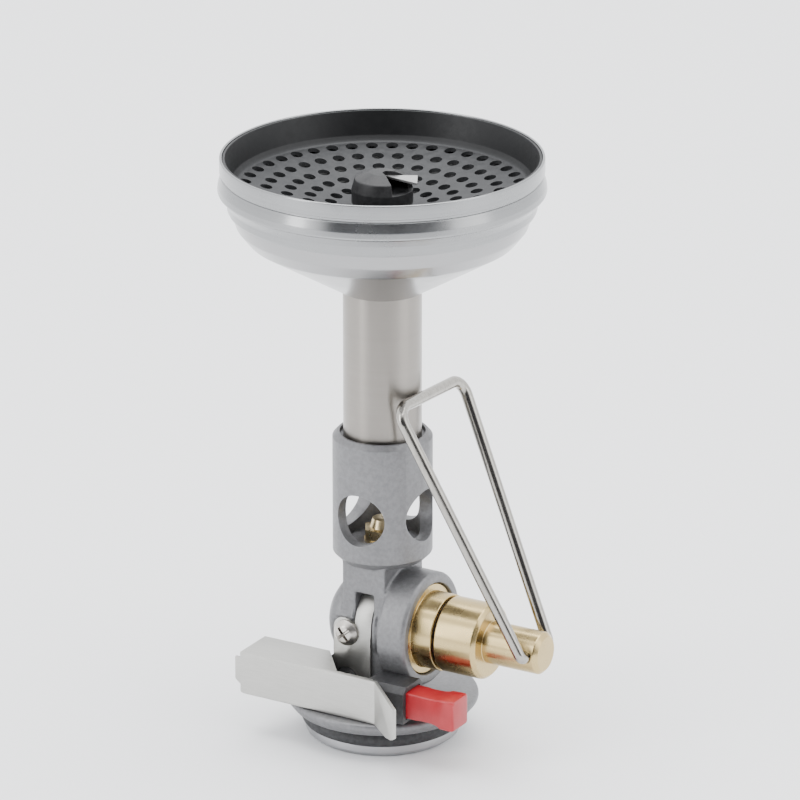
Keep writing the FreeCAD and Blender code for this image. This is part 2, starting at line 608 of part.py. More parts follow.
def make_spark_parts():
    base = 81.4
    # gauze under the plate, held by the bowl's wall
    turned("flame_gauze", [
        (1.7, 79.2), (5.0, 79.2), (20.9, 81.8), (20.9, 82.1), (5.0, 79.5), (1.7, 79.5)])
    body = new_body("ignition_hood")
    edge = size.hood_edge
    dome = draw_path(new_sketch(body, "XZ_Plane"), [
        (1.7, base), (size.hood_radius, base), (size.hood_radius, edge), (3.95, edge + 1.6),
        (1.8, edge + 2.5), (0, edge + 2.6), (0, edge + 2.0), (1.7, edge + 1.9), (3.4, edge + 1.2),
        (size.hood_radius - 0.7, edge - 0.1), (size.hood_radius - 0.7, base + 0.6), (1.7, base + 0.6)])
    spin(body, dome, "V_Axis")
    # a wedge of the dome is left open towards the spark gap
    wedge = draw_path(new_sketch(body, "XY_Plane", forward=edge - 0.3), [
        (0.2, -0.5), (4.6, -4.4), (6.5, -1.6), (5.6, 3.6), (0.2, 0.5)])
    extrude(body, wedge, 5, cut=True, backwards=True)
    keep(body, "ignition_hood")
    tongue = new_body("spark_tongue")
    shape = draw_path(new_sketch(tongue, "XY_Plane", forward=edge + 1.65), [
        (-0.1, 0.1), (6.2, -0.8), (4.4, 2.5)])
    extrude(tongue, shape, 0.35)
    keep(tongue, "spark_tongue")
    turned("electrode_insulator", ring_outline(0.45, 1.5, 75.0, 82.6))
    turned("electrode", [(0, 75.0), (0.43, 75.0), (0.43, 83.2), (0.2, 83.5), (0, 83.5)])
    lead = doc.addObject("Part::Feature", "ignition_lead")
    lead.Shape = lead_tube(size.lead_radius.value)
    keep(lead, "ignition_lead")


# ---------------------------------------------------------------- igniter

def make_bracket():
    """Folded sheet: a channel round the igniter, a screwed plate, a hooked strip and a flared wing."""
    body = new_body("igniter_bracket")
    sheet_gauge = size.sheet_thickness
    front, back = -size.channel_front, -size.block_half_width
    inner_front = front + sheet_gauge
    low, high = size.channel_bottom, size.channel_top
    # front wall and floor, the whole length
    angle = draw_path(new_sketch(body, "YZ_Plane", forward=size.channel_left), [
        (front, low), (back, low), (back, low + sheet_gauge), (inner_front, low + sheet_gauge),
        (inner_front, high), (front, high)])
    extrude(body, angle, size.channel_right - size.channel_left)
    # roof, cut back along a slant to a narrow lip behind the front wall
    lip = 0.9
    roof = draw_path(new_sketch(body, "XY_Plane", forward=high - sheet_gauge), [
        (size.channel_left, front + 0.1), (size.channel_right - 0.3, front + 0.1),
        (size.channel_right - 0.9, front + lip), (size.lip_start, front + lip), (size.roof_right, back),
        (size.channel_left, back)])
    extrude(body, roof, sheet_gauge)
    back_wall = draw_path(new_sketch(body, "YZ_Plane", forward=size.channel_left), [
        (back - sheet_gauge, high - 0.1), (back - sheet_gauge, low + 0.1), (back, low + 0.1),
        (back, high - 0.1)])
    extrude(body, back_wall, size.roof_right - size.channel_left)
    # the plate on the casting, rounded round its screw, with the foot of the strip
    plate = draw_path(new_sketch(body, "XZ_Plane", forward=size.block_half_width), [
        (size.roof_right - 0.1, low), (size.plate_right, low), (size.plate_right, size.valve_axis_height - 1),
        (size.strip_right, size.valve_axis_height - 0.4), (size.strip_right, size.valve_axis_height),
        (size.strip_left, size.valve_axis_height), (size.strip_left, 18.2), (-3.4, 19.0, 2.4),
        (size.plate_left, 17.5, 1.6), (size.plate_left, high), (size.roof_right - 0.1, 12.0)])
    extrude(body, plate, sheet_gauge)
    # the strip bends back over the round housing
    strip = draw_path(new_sketch(body, "XY_Plane", forward=size.valve_axis_height), [
        (size.strip_left, back - 0.02), (size.strip_right, back - 0.02),
        (size.strip_right, back - sheet_gauge), (size.strip_left, back - sheet_gauge)])
    bent = body.newObject("PartDesign::Revolution", "strip_bend")
    bent.Profile = strip
    bent.ReferenceAxis = (strip, ["H_Axis"])
    bent.Angle = 60
    bent.Reversed = True
    settle(body, bent, cut=False)
    # end tab and a small foot on the flange
    tab = draw_path(new_sketch(body, "XZ_Plane", forward=size.channel_front - 0.5), [
        (size.channel_left - 0.9, low + 2.3), (size.channel_left + 0.2, low + 1.4),
        (size.channel_left + 0.2, high - 0.9), (size.channel_left - 0.9, high - 0.9)])
    extrude(body, tab, 0.45)
    # the flared wing
    wing = draw_path(new_sketch(body, "XY_Plane", forward=low), [
        (size.channel_right - 0.35, inner_front), (size.channel_right - 0.05, front), (12.05, -18.0),
        (12.4, -17.6), (size.channel_right + 0.1, inner_front)])
    extrude(body, wing, high - low)
    above = draw_path(new_sketch(body, "XZ_Plane"), [
        (size.channel_right + 0.1, high + 0.1), (size.channel_right + 0.1, high), (13, 11.9),
        (13, high + 0.1)])
    extrude(body, above, 30, cut=True, backwards=True)
    below = draw_path(new_sketch(body, "XZ_Plane"), [
        (9.3, low - 0.1), (13, low - 0.1), (13, 7.9), (11.2, 6.9)])
    extrude(body, below, 30, cut=True, backwards=True)
    # two shallow notches leave a tab on the flange
    for start, end in ((-4.7, -1.2), (0.0, 3.9)):
        notch = draw_path(new_sketch(body, "XZ_Plane", forward=size.channel_front - 1.2), [
            (start, low - 0.1), (end, low - 0.1), (end, low + 0.35), (start, low + 0.35)])
        extrude(body, notch, 2, cut=True)
    lead_hole = (size.lead_exit_x, size.piezo_axis_height, 1.9)
    screw_hole = (size.screw_x, size.screw_height, 1.05)
    for x, height, radius in (lead_hole, screw_hole):
        behind = new_sketch(body, "XZ_Plane", forward=size.block_half_width - 0.2)
        hole = draw_circle(behind, x, height, radius)
        extrude(body, hole, 1.2, cut=True, backwards=True)
    return keep(body, "igniter_bracket")


def make_bracket_screw():
    body = new_body("bracket_screw", x=size.screw_x, z=size.screw_height)
    seat = -size.block_half_width - size.sheet_thickness
    outline = draw_path(new_sketch(body, "XY_Plane"), [
        (0, seat - 1.3), (1.2, seat - 1.2), (2.0, seat - 0.5, 1.2), (2.0, seat), (1.0, seat), (1.0, -3.3),
        (0.6, -2.95), (0, -2.95)])
    spin(body, outline, "V_Axis")
    cross = draw_path(new_sketch(body, "XZ_Plane", forward=7.5), [
        (-1.1, -0.2), (-0.2, -0.2), (-0.2, -1.1), (0.2, -1.1), (0.2, -0.2), (1.1, -0.2),
        (1.1, 0.2), (0.2, 0.2), (0.2, 1.1), (-0.2, 1.1), (-0.2, 0.2), (-1.1, 0.2)])
    extrude(body, cross, 0.9, cut=True)
    return keep(body, "bracket_screw")


def make_piezo():
    y, z = size.piezo_axis_y, size.piezo_axis_height
    body = new_body("piezo_housing", y=y, z=z)
    case = draw_path(new_sketch(body, "XZ_Plane"), [
        (-15.8, 0), (-15.8, size.piezo_radius - 0.3), (-15.5, size.piezo_radius),
        (size.collar_start + 0.1, size.piezo_radius), (size.collar_start + 0.1, 0)])
    spin(body, case, "H_Axis")
    collar = draw_path(new_sketch(body, "YZ_Plane", forward=size.collar_start), [
        (-2.75, -2.4), (2.7, -2.4), (3.0, -2.1), (3.0, 2.1), (2.1, 3.1), (-1.9, 3.1), (-2.75, 2.2)])
    extrude(body, collar, size.collar_end - size.collar_start)
    boss = draw_circle(new_sketch(body, "XZ_Plane", forward=-2.4), size.lead_exit_x, 0, 1.0)
    extrude(body, boss, 1.2)
    bore = draw_path(new_sketch(body, "XZ_Plane"), [
        (-15.1, 0), (-15.1, size.piezo_bore_radius), (3.4, size.piezo_bore_radius), (3.4, 0.75),
        (size.collar_start + 0.2, 0.75), (size.collar_start + 0.2, 0)])
    spin(body, bore, "H_Axis", cut=True)
    mouth = draw_path(new_sketch(body, "YZ_Plane", forward=size.collar_end), [
        (-1.95, -1.95), (2.2, -1.95), (2.2, 2.3), (-1.95, 2.3)])
    extrude(body, mouth, size.collar_end - size.collar_start, cut=True)
    keep(body, "piezo_housing")
    turned("piezo_crystal", [(-15.0, 0), (-15.0, 1.35), (-9.0, 1.35), (-9.0, 0)], "H_Axis", y=y, z=z)
    turned("striker", [(-6.3, 0), (-6.3, 0.8), (-5.8, 1.32), (-1.2, 1.32), (-1.2, 0)], "H_Axis", y=y, z=z)
    coil_spring("striker_spring", -1.18, 2.98, 0.95, 0.2, 5, y=y, z=z)


def make_button():
    y, z = size.piezo_axis_y, size.piezo_axis_height
    body = new_body("igniter_button", y=y, z=z)
    root = draw_path(new_sketch(body, "YZ_Plane", forward=8.0), [
        (-1.85, -1.85), (2.1, -1.85), (2.1, 2.2), (-1.85, 2.2)])
    extrude(body, root, 7.4)
    head = draw_path(new_sketch(body, "XZ_Plane"), [
        (15.1, -1.85), (16.0, -2.2), (size.button_end - 0.3, -2.2), (size.button_end, -1.9),
        (size.button_end, 2.25), (size.button_end - 0.3, 2.55), (16.0, 2.5), (15.1, 2.2)])
    extrude(body, head, 4.5, both_ways=True)
    pocket = draw_circle(new_sketch(body, "YZ_Plane", forward=12.5), 0, 0, size.piezo_bore_radius)
    extrude(body, pocket, 5, cut=True)
    rod = draw_circle(new_sketch(body, "YZ_Plane", forward=3.0), 0, 0, 0.6)
    extrude(body, rod, 9.6)
    keep(body, "igniter_button")
    coil_spring("button_spring", size.collar_start + 0.22, 12.48, 1.0, 0.2, 8, y=y, z=z)


# ---------------------------------------------------------------- build, check and write

make_base()
cut_casting(make_casting())
make_regulator()
make_spindle()
make_handle()
make_jet_and_tube()
make_bowl()
make_plate()
make_spark_parts()
make_bracket()
make_bracket_screw()
make_piezo()
make_button()
doc.recompute()

for thing in doc.Objects:
    if {"Invalid", "Error"} & set(thing.State):
        raise RuntimeError(f"{thing.Label} failed: {thing.State}")
os.makedirs("parts", exist_ok=True)
for piece in sub_parts:
    shape = piece.Shape
    if shape.isNull() or not shape.isValid() or not shape.Solids:
        raise RuntimeError(f"{piece.Label} has no valid solid")
    shape.exportStep(f"parts/{piece.Label}.step")
    print(f"{piece.Label:22s} {len(shape.Solids)} solid, {shape.Volume:10.3f} mm3")
print(f"{len(sub_parts)} sub-parts")
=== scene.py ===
# %% [markdown]
# # A canister stove, finished in Blender
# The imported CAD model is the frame: it gives every size, place and joint. Blender adds what CAD leaves out:
# rounded edges, real threads, turned, cast, rolled and moulded surfaces, light and a camera.
# Sizes below are in millimetres and become metres when a mesh is made. +Z runs up the mixing tube, +X along
# the regulator towards its knob, and the igniter is on the -Y side.

# %% Load the frame
import math
import bmesh
import bpy
from mathutils import Matrix, Vector


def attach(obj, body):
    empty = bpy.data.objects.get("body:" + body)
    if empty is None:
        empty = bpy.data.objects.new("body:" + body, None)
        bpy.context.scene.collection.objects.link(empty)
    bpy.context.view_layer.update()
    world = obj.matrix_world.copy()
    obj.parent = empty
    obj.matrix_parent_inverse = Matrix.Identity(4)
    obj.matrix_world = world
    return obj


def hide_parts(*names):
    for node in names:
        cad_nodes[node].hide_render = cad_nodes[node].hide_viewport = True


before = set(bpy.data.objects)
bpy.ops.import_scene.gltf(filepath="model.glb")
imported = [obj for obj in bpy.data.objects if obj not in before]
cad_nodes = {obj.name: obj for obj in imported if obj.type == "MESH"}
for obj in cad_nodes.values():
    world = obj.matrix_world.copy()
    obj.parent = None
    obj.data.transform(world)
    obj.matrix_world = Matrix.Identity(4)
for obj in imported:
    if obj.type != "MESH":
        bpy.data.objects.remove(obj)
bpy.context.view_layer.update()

# %% Sizes that several pieces share
MM = 0.001
MERGE_DISTANCE = 0.000001
TUBE_RADIUS = 5.69
VALVE_HEIGHT = 17.4
SPINDLE_ROLL = math.radians(-3)
HANDLE_PIVOT = Vector((25.4, 0, VALVE_HEIGHT))

# %% [markdown]
# ## Mesh helpers
# Most of this stove is turned on a lathe or bent from wire and sheet, so a few small makers cover it:
# an outline with rounded corners, a lathe, a loft, a wire along a route, and a clean copy of a CAD node.
# Rounding each corner of an outline by a tenth of a millimetre costs little and gives every edge the thin
# highlight that real turned metal has, which a sharp CAD edge never shows.


# %% Outlines with rounded corners
def rounded(outline, steps=5):
    """Corners are (u, v) or (u, v, radius); a corner with a radius becomes a short curve."""
    points = []
    for index, corner in enumerate(outline):
        here = Vector(corner[:2])
        if len(corner) == 2:
            points.append(here)
            continue
        back = Vector(outline[index - 1][:2]) - here
        ahead = Vector(outline[(index + 1) % len(outline)][:2]) - here
        trim = corner[2] / math.tan(back.angle(ahead) / 2)
        start = here + back.normalized() * min(trim, back.length * 0.45)
        end = here + ahead.normalized() * min(trim, ahead.length * 0.45)
        for step in range(steps + 1):
            t = step / steps
            points.append(start * (1 - t) ** 2 + here * 2 * t * (1 - t) + end * t ** 2)
    return points


# %% Clean meshes and new pieces
def place_object(name, data):
    """A new object in the scene, at the origin."""
    thing = bpy.data.objects.new(name, data)
    bpy.context.scene.collection.objects.link(thing)
    return thing


def clean(mesh, sharp_angle=32):
    """Merge doubles, point faces outwards, and shade smoothly up to the sharp edges."""
    work = bmesh.new()
    work.from_mesh(mesh)
    bmesh.ops.remove_doubles(work, verts=work.verts, dist=MERGE_DISTANCE)
    bmesh.ops.recalc_face_normals(work, faces=work.faces)
    work.to_mesh(mesh)
    work.free()
    mesh.shade_smooth()
    mesh.set_sharp_from_angle(angle=math.radians(sharp_angle))


def new_piece(name, corners, faces, sharp_angle=32):
    """An object at the origin whose mesh is already in its place."""
    mesh = bpy.data.meshes.new(name)
    mesh.from_pydata([Vector(corner) * MM for corner in corners], [], faces)
    clean(mesh, sharp_angle)
    return place_object(name, mesh)


def cad_copy(name, node, sharp_angle=32):
    """A merged copy of a CAD node, with its flat faces whole again, ready for bevels."""
    mesh = cad_nodes[node].data.copy()
    mesh.name = name
    work = bmesh.new()
    work.from_mesh(mesh)
    bmesh.ops.remove_doubles(work, verts=work.verts, dist=MERGE_DISTANCE)
    bmesh.ops.dissolve_limit(work, angle_limit=math.radians(0.5), verts=work.verts, edges=work.edges)
    work.to_mesh(mesh)
    work.free()
    clean(mesh, sharp_angle)
    return place_object(name, mesh)


# %% Lathe, loft and prism
ALONG = {
    "Z": lambda radius, height, angle: (radius * math.cos(angle), radius * math.sin(angle), height),
    "X": lambda radius, height, angle: (height, radius * math.cos(angle), radius * math.sin(angle)),
    "Y": lambda radius, height, angle: (radius * math.sin(angle), height, radius * math.cos(angle)),
}


ON_AXIS = 1e-6


def lathe(name, outline, axis="Z", centre=(0, 0, 0), steps=144, sharp_angle=32):
    """Spin an outline of (radius, place along the axis) corners; an outline that meets the axis is solid."""
    points = rounded(outline)
    corners, rings, faces = [], [], []
    for point in points:
        on_axis = point.x < ON_AXIS
        first = len(corners)
        count = 1 if on_axis else steps
        rings.append([first] * steps if on_axis else list(range(first, first + steps)))
        for step in range(count):
            place = ALONG[axis](point.x, point.y, 2 * math.pi * step / steps)
            corners.append(Vector(place) + Vector(centre))
    pairs = list(zip(rings, rings[1:]))
    if min(points[0].x, points[-1].x) > ON_AXIS:
        pairs.append((rings[-1], rings[0]))
    for low, high in pairs:
        for step in range(steps):
            after = (step + 1) % steps
            face = list(dict.fromkeys((low[step], low[after], high[after], high[step])))
            if len(face) > 2:
                faces.append(face)
    return new_piece(name, corners, faces, sharp_angle)


def skin(name, sections, sharp_angle=32):
    """Join closed sections of equal length, and close both ends."""
    count = len(sections[0])
    corners = [corner for section in sections for corner in section]
    faces = [list(range(count)), list(range(len(corners) - count, len(corners)))]
    for row in range(len(sections) - 1):
        for step in range(count):
            after = (step + 1) % count
            faces.append([row * count + step, row * count + after,
                          (row + 1) * count + after, (row + 1) * count + step])
    return new_piece(name, corners, faces, sharp_angle)


FLAT = {
    "XY": lambda point, depth: (point.x, point.y, depth),
    "XZ": lambda point, depth: (point.x, depth, point.y),
    "YZ": lambda point, depth: (depth, point.x, point.y),
}


def prism(name, outline, plane, start, end):
    """A flat outline pulled from one depth to another."""
    points = rounded(outline)
    return skin(name, [[FLAT[plane](point, depth) for point in points] for depth in (start, end)])


# %% Wire along a route
def bend_route(points, radii, steps=12):
    """Straight runs with a round bend of the given radius at each inner point."""
    points = [Vector(point) for point in points]
    route = [points[0]]
    for before, here, after, radius in zip(points, points[1:], points[2:], radii):
        back, ahead = (before - here).normalized(), (after - here).normalized()
        half = back.angle(ahead) / 2
        centre = here + (back + ahead).normalized() * radius / math.sin(half)
        start = here + back * radius / math.tan(half) - centre
        turn = back.cross(ahead).normalized()
        for step in range(steps + 1):
            swing = Matrix.Rotation(-(math.pi - 2 * half) * step / steps, 3, turn)
            route.append(centre + swing @ start)
    route.append(points[-1])
    return route


def wire(name, route, radius, sides=24, sharp_angle=40):
    """A round wire along a route, its section carried along without twisting."""
    directions = [(after - before).normalized() for before, after in zip(route, route[1:])]
    directions = [directions[0]] + [(a + b).normalized() for a, b in zip(directions, directions[1:])] + [
        directions[-1]]
    side = directions[0].orthogonal().normalized()
    sections = []
    for place, direction in zip(route, directions):
        side = (side - direction * side.dot(direction)).normalized()
        other = direction.cross(side)
        angles = [2 * math.pi * step / sides for step in range(sides)]
        sections.append([place + (side * math.cos(a) + other * math.sin(a)) * radius for a in angles])
    return skin(name, sections, sharp_angle)


# %% Modifiers that are applied at once
def apply_modifiers(piece):
    """Turn the modified shape into the piece's plain mesh."""
    graph = bpy.context.evaluated_depsgraph_get()
    mesh = bpy.data.meshes.new_from_object(piece.evaluated_get(graph))
    piece.modifiers.clear()
    piece.data = mesh
    return piece


def bevelled(piece, width, segments=3, angle=30, sharp_angle=40):
    """Round every edge sharper than the angle."""
    bevel = piece.modifiers.new("rounding", "BEVEL")
    bevel.width = width * MM
    bevel.segments = segments
    bevel.limit_method = "ANGLE"
    bevel.angle_limit = math.radians(angle)
    apply_modifiers(piece)
    piece.data.shade_smooth()
    piece.data.set_sharp_from_angle(angle=math.radians(sharp_angle))
    return piece


def cut(piece, *cutters, sharp_angle=32):
    """Take the cutters' shapes out of the piece."""
    for cutter in cutters:
        boolean = piece.modifiers.new("cut", "BOOLEAN")
        boolean.operation = "DIFFERENCE"
        boolean.solver = "EXACT"
        boolean.object = cutter
    apply_modifiers(piece)
    for cutter in cutters:
        bpy.data.objects.remove(cutter)
    clean(piece.data, sharp_angle)
    return piece


def finish(piece, material, body, slot, *stands_for):
    """Give a piece its material, its body and the CAD nodes it stands for; the slot argument is not used."""
    piece.data.materials.clear()
    piece.data.materials.append(material)
    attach(piece, body)
    if stands_for:
        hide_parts(*stands_for)
    print(f"{piece.name}: {len(piece.data.polygons)} faces on {body}")


# %% [markdown]
# ## Surface effects shared by several finishes
# Each effect is a node group with named inputs, so that cast metal, turned brass and painted steel can all
# wear at their edges in the same way but by different amounts. A group only works out a mask, a shade or a
# height. The Principled shader, with its constant numbers, stays in each material.


# %% Node group tools
def start_group(name, inputs, outputs):
    """An empty shader group: inputs are (name, kind, default), outputs are names of numbers."""
    group = bpy.data.node_groups.new(name, "ShaderNodeTree")
    for label, kind, default in inputs:
        socket = group.interface.new_socket(label, in_out="INPUT", socket_type=f"NodeSocket{kind}")
        socket.default_value = default
    for label in outputs:
        group.interface.new_socket(label, in_out="OUTPUT", socket_type="NodeSocketFloat")
    return group, group.nodes.new("NodeGroupInput"), group.nodes.new("NodeGroupOutput")


def feed(tree, target, value):
    """Link a socket to another, or set it to a plain value."""
    if isinstance(value, bpy.types.NodeSocket):
        tree.links.new(value, target)
    else:
        target.default_value = value


def math_node(tree, operation, *values, clamp=False):
    node = tree.nodes.new("ShaderNodeMath")
    node.operation = operation
    node.use_clamp = clamp
    for socket, value in zip(node.inputs, values):
        feed(tree, socket, value)
    return node.outputs[0]


def vector_node(tree, operation, *values):
    node = tree.nodes.new("ShaderNodeVectorMath")
    node.operation = operation
    for socket, value in zip(node.inputs, values):
        feed(tree, socket, value)
    return node.outputs["Value" if operation in ("LENGTH", "DOT_PRODUCT") else "Vector"]


def noise_node(tree, vector, scale, detail=3.0, roughness=0.55):
    node = tree.nodes.new("ShaderNodeTexNoise")
    feed(tree, node.inputs["Vector"], vector)
    feed(tree, node.inputs["Scale"], scale)
    node.inputs["Detail"].default_value = detail
    node.inputs["Roughness"].default_value = roughness
    return node.outputs["Fac"]


def spread_node(tree, value, low, high):
    """Stretch low to high over 0 to 1, softly."""
    node = tree.nodes.new("ShaderNodeMapRange")
    node.interpolation_type = "SMOOTHSTEP"
    feed(tree, node.inputs["Value"], value)
    feed(tree, node.inputs["From Min"], low)
    feed(tree, node.inputs["From Max"], high)
    return node.outputs["Result"]


# %% Turning lines
group, given, result = start_group(
    "turning lines",
    [("Centre", "Vector", (0, 0, 0)), ("Turn", "Vector", (0, 0, 0)), ("Lines per metre", "Float", 6000.0)],
    ["Height", "Shade"])
coordinates = group.nodes.new("ShaderNodeTexCoord").outputs["Object"]
moved = vector_node(group, "SUBTRACT", coordinates, given.outputs["Centre"])
rotate = group.nodes.new("ShaderNodeVectorRotate")
rotate.rotation_type = "EULER_XYZ"
feed(group, rotate.inputs["Vector"], moved)
feed(group, rotate.inputs["Rotation"], given.outputs["Turn"])
parts = group.nodes.new("ShaderNodeSeparateXYZ")
feed(group, parts.inputs[0], rotate.outputs[0])
radius = math_node(group, "SQRT", math_node(
    group, "ADD", math_node(group, "MULTIPLY", parts.outputs["X"], parts.outputs["X"]),
    math_node(group, "MULTIPLY", parts.outputs["Y"], parts.outputs["Y"])))
ring = group.nodes.new("ShaderNodeCombineXYZ")
feed(group, ring.inputs["X"], radius)
feed(group, ring.inputs["Y"], parts.outputs["Z"])
lines = noise_node(group, ring.outputs[0], given.outputs["Lines per metre"], 2.0, 0.7)
broad = math_node(group, "MULTIPLY", given.outputs["Lines per metre"], 0.12)
bands = noise_node(group, ring.outputs[0], broad, 1.0)
feed(group, result.inputs["Height"], lines)
feed(group, result.inputs["Shade"], math_node(group, "ADD", math_node(group, "MULTIPLY", lines, 0.6),
                                              math_node(group, "MULTIPLY", bands, 0.4)))
TURNING = group

# %% Drawn and rolled grain
group, given, result = start_group(
    "drawn grain", [("Scale", "Vector", (400.0, 12000.0, 12000.0))], ["Height", "Shade"])
coordinates = group.nodes.new("ShaderNodeTexCoord").outputs["Object"]
stretched = vector_node(group, "MULTIPLY", coordinates, given.outputs["Scale"])
grain = noise_node(group, stretched, 1.0, 3.0, 0.65)
feed(group, result.inputs["Height"], grain)
feed(group, result.inputs["Shade"], spread_node(group, grain, 0.3, 0.7))
GRAIN = group

# %% Cast skin
group, given, result = start_group(
    "cast skin", [("Scale", "Float", 900.0)], ["Mottle", "Height"])
coordinates = group.nodes.new("ShaderNodeTexCoord").outputs["Object"]
clouds = noise_node(group, coordinates, given.outputs["Scale"], 4.0, 0.6)
pits = noise_node(group, coordinates, math_node(group, "MULTIPLY", given.outputs["Scale"], 6.0), 2.0)
feed(group, result.inputs["Mottle"], spread_node(group, clouds, 0.32, 0.68))
feed(group, result.inputs["Height"], math_node(group, "ADD", pits, math_node(group, "MULTIPLY", clouds, 0.6)))
CAST = group

# %% Edge wear
group, given, result = start_group(
    "edge wear",
    [("Width", "Float", 0.0002), ("Amount", "Float", 1.0), ("Patchiness", "Float", 0.5)],
    ["Mask"])
bevel = group.nodes.new("ShaderNodeBevel")
bevel.samples = 4
feed(group, bevel.inputs["Radius"], given.outputs["Width"])
geometry = group.nodes.new("ShaderNodeNewGeometry")
alike = vector_node(group, "DOT_PRODUCT", bevel.outputs["Normal"], geometry.outputs["Normal"])
edge = spread_node(group, math_node(group, "SUBTRACT", 1.0, alike), 0.01, 0.16)
coordinates = group.nodes.new("ShaderNodeTexCoord").outputs["Object"]
patches = spread_node(group, noise_node(group, coordinates, 1500.0, 4.0), 0.35, 0.65)
kept = math_node(group, "SUBTRACT", 1.0, math_node(group, "MULTIPLY", given.outputs["Patchiness"], patches))
worn_edge = math_node(group, "MULTIPLY", edge, kept)
feed(group, result.inputs["Mask"], math_node(
    group, "MULTIPLY", worn_edge, given.outputs["Amount"], clamp=True))
WEAR = group

# %% Handling marks and dust
group, given, result = start_group(
    "handling marks", [("Scale", "Float", 260.0), ("Amount", "Float", 0.1)], ["Roughness change", "Smudge"])
coordinates = group.nodes.new("ShaderNodeTexCoord").outputs["Object"]
smears = spread_node(group, noise_node(group, coordinates, given.outputs["Scale"], 5.0, 0.6), 0.35, 0.7)
feed(group, result.inputs["Smudge"], smears)
feed(group, result.inputs["Roughness change"], math_node(group, "MULTIPLY", smears, given.outputs["Amount"]))
MARKS = group

group, given, result = start_group(
    "settled dust", [("Amount", "Float", 0.1)], ["Mask"])
geometry = group.nodes.new("ShaderNodeNewGeometry")
parts = group.nodes.new("ShaderNodeSeparateXYZ")
feed(group, parts.inputs[0], geometry.outputs["Normal"])
upward = spread_node(group, parts.outputs["Z"], 0.5, 1.0)
coordinates = group.nodes.new("ShaderNodeTexCoord").outputs["Object"]
specks = spread_node(group, noise_node(group, coordinates, 2600.0, 5.0, 0.7), 0.5, 0.75)
feed(group, result.inputs["Mask"], math_node(
    group, "MULTIPLY", math_node(group, "MULTIPLY", upward, specks), given.outputs["Amount"],
    clamp=True))
DUST = group
print("effects: turning lines, drawn grain, cast skin, edge wear, handling marks, settled dust")

# %% [markdown]
# ## Materials
# Every material starts from one Principled shader with its constants set on the shader itself. Colour,
# roughness and bump then come from the shared effects. Metals keep Metallic at 1 and get their look from
# roughness and anisotropy: lathe lines stretch a reflection across the lines, so a turned piece shows long
# streaks of light along its axis.


# %% Material tools
def start_material(name, metallic=0.0, roughness=0.5, **constants):
    material = bpy.data.materials.new(name)
    material.use_nodes = True
    tree = material.node_tree
    shader = tree.nodes["Principled BSDF"]
    shader.inputs["Metallic"].default_value = metallic
    shader.inputs["Roughness"].default_value = roughness
    for label, value in constants.items():
        shader.inputs[label.replace("_", " ")].default_value = value
    return material, tree, shader


def place_group(tree, group, **values):
    node = tree.nodes.new("ShaderNodeGroup")
    node.node_tree = group
    for label, value in values.items():
        feed(tree, node.inputs[label.replace("_", " ")], value)
    return node


def blend_colours(tree, factor, first, second):
    node = tree.nodes.new("ShaderNodeMix")
    node.data_type = "RGBA"
    feed(tree, node.inputs[0], factor)
    feed(tree, node.inputs[6], first if isinstance(first, bpy.types.NodeSocket) else (*first, 1.0))
    feed(tree, node.inputs[7], second if isinstance(second, bpy.types.NodeSocket) else (*second, 1.0))
    return node.outputs[2]


def add_bump(tree, shader, height, depth):
    """depth is the height of the pattern in millimetres."""
    node = tree.nodes.new("ShaderNodeBump")
    node.inputs["Strength"].default_value = 1.0
    node.inputs["Distance"].default_value = depth * MM
    feed(tree, node.inputs["Height"], height)
    feed(tree, shader.inputs["Normal"], node.outputs["Normal"])


def lines_round(tree, shader, axis, amount):
    """Anisotropic streaks for a surface turned about an axis; a quarter turn sets them across the lines."""
    shader.inputs["Anisotropic"].default_value = amount
    shader.inputs["Anisotropic Rotation"].default_value = 0.25
    tangent = tree.nodes.new("ShaderNodeTangent")
    tangent.direction_type = "RADIAL"
    tangent.axis = axis
    feed(tree, shader.inputs["Tangent"], tangent.outputs[0])


def roughen(tree, shader, base, *changes):
    """Roughness is a base number plus every change."""
    total = base
    for change in changes:
        total = math_node(tree, "ADD", total, change)
    feed(tree, shader.inputs["Roughness"], total)


# %% Turned and drawn metals
def turned_metal(name, light, dark, roughness, lines, depth, streaks, centre=(0, 0, 0), turn=(0, 0, 0),
                 axis="Z", smudge=0.08, wear=0.3):
    material, tree, shader = start_material(name, metallic=1.0)
    turning = place_group(tree, TURNING, Centre=centre, Turn=turn, Lines_per_metre=lines)
    marks = place_group(tree, MARKS, Amount=smudge)
    worn = place_group(tree, WEAR, Amount=wear)
    colour = blend_colours(tree, turning.outputs["Shade"], dark, light)
    bright = tuple(min(1.0, part * 1.25) for part in light)
    feed(tree, shader.inputs["Base Color"], blend_colours(tree, worn.outputs["Mask"], colour, bright))
    roughen(tree, shader, roughness, marks.outputs["Roughness change"])
    add_bump(tree, shader, turning.outputs["Height"], depth)
    lines_round(tree, shader, axis, streaks)
    return material


def drawn_metal(name, light, dark, roughness, scale, depth, smudge=0.08, wear=0.4):
    material, tree, shader = start_material(name, metallic=1.0)
    grain = place_group(tree, GRAIN, Scale=scale)
    marks = place_group(tree, MARKS, Amount=smudge)
    worn = place_group(tree, WEAR, Amount=wear, Width=0.00015)
    colour = blend_colours(tree, grain.outputs["Shade"], dark, light)
    bright = tuple(min(1.0, part * 1.2) for part in light)
    feed(tree, shader.inputs["Base Color"], blend_colours(tree, worn.outputs["Mask"], colour, bright))
    roughen(tree, shader, roughness, marks.outputs["Roughness change"])
    add_bump(tree, shader, grain.outputs["Height"], depth)
    return material


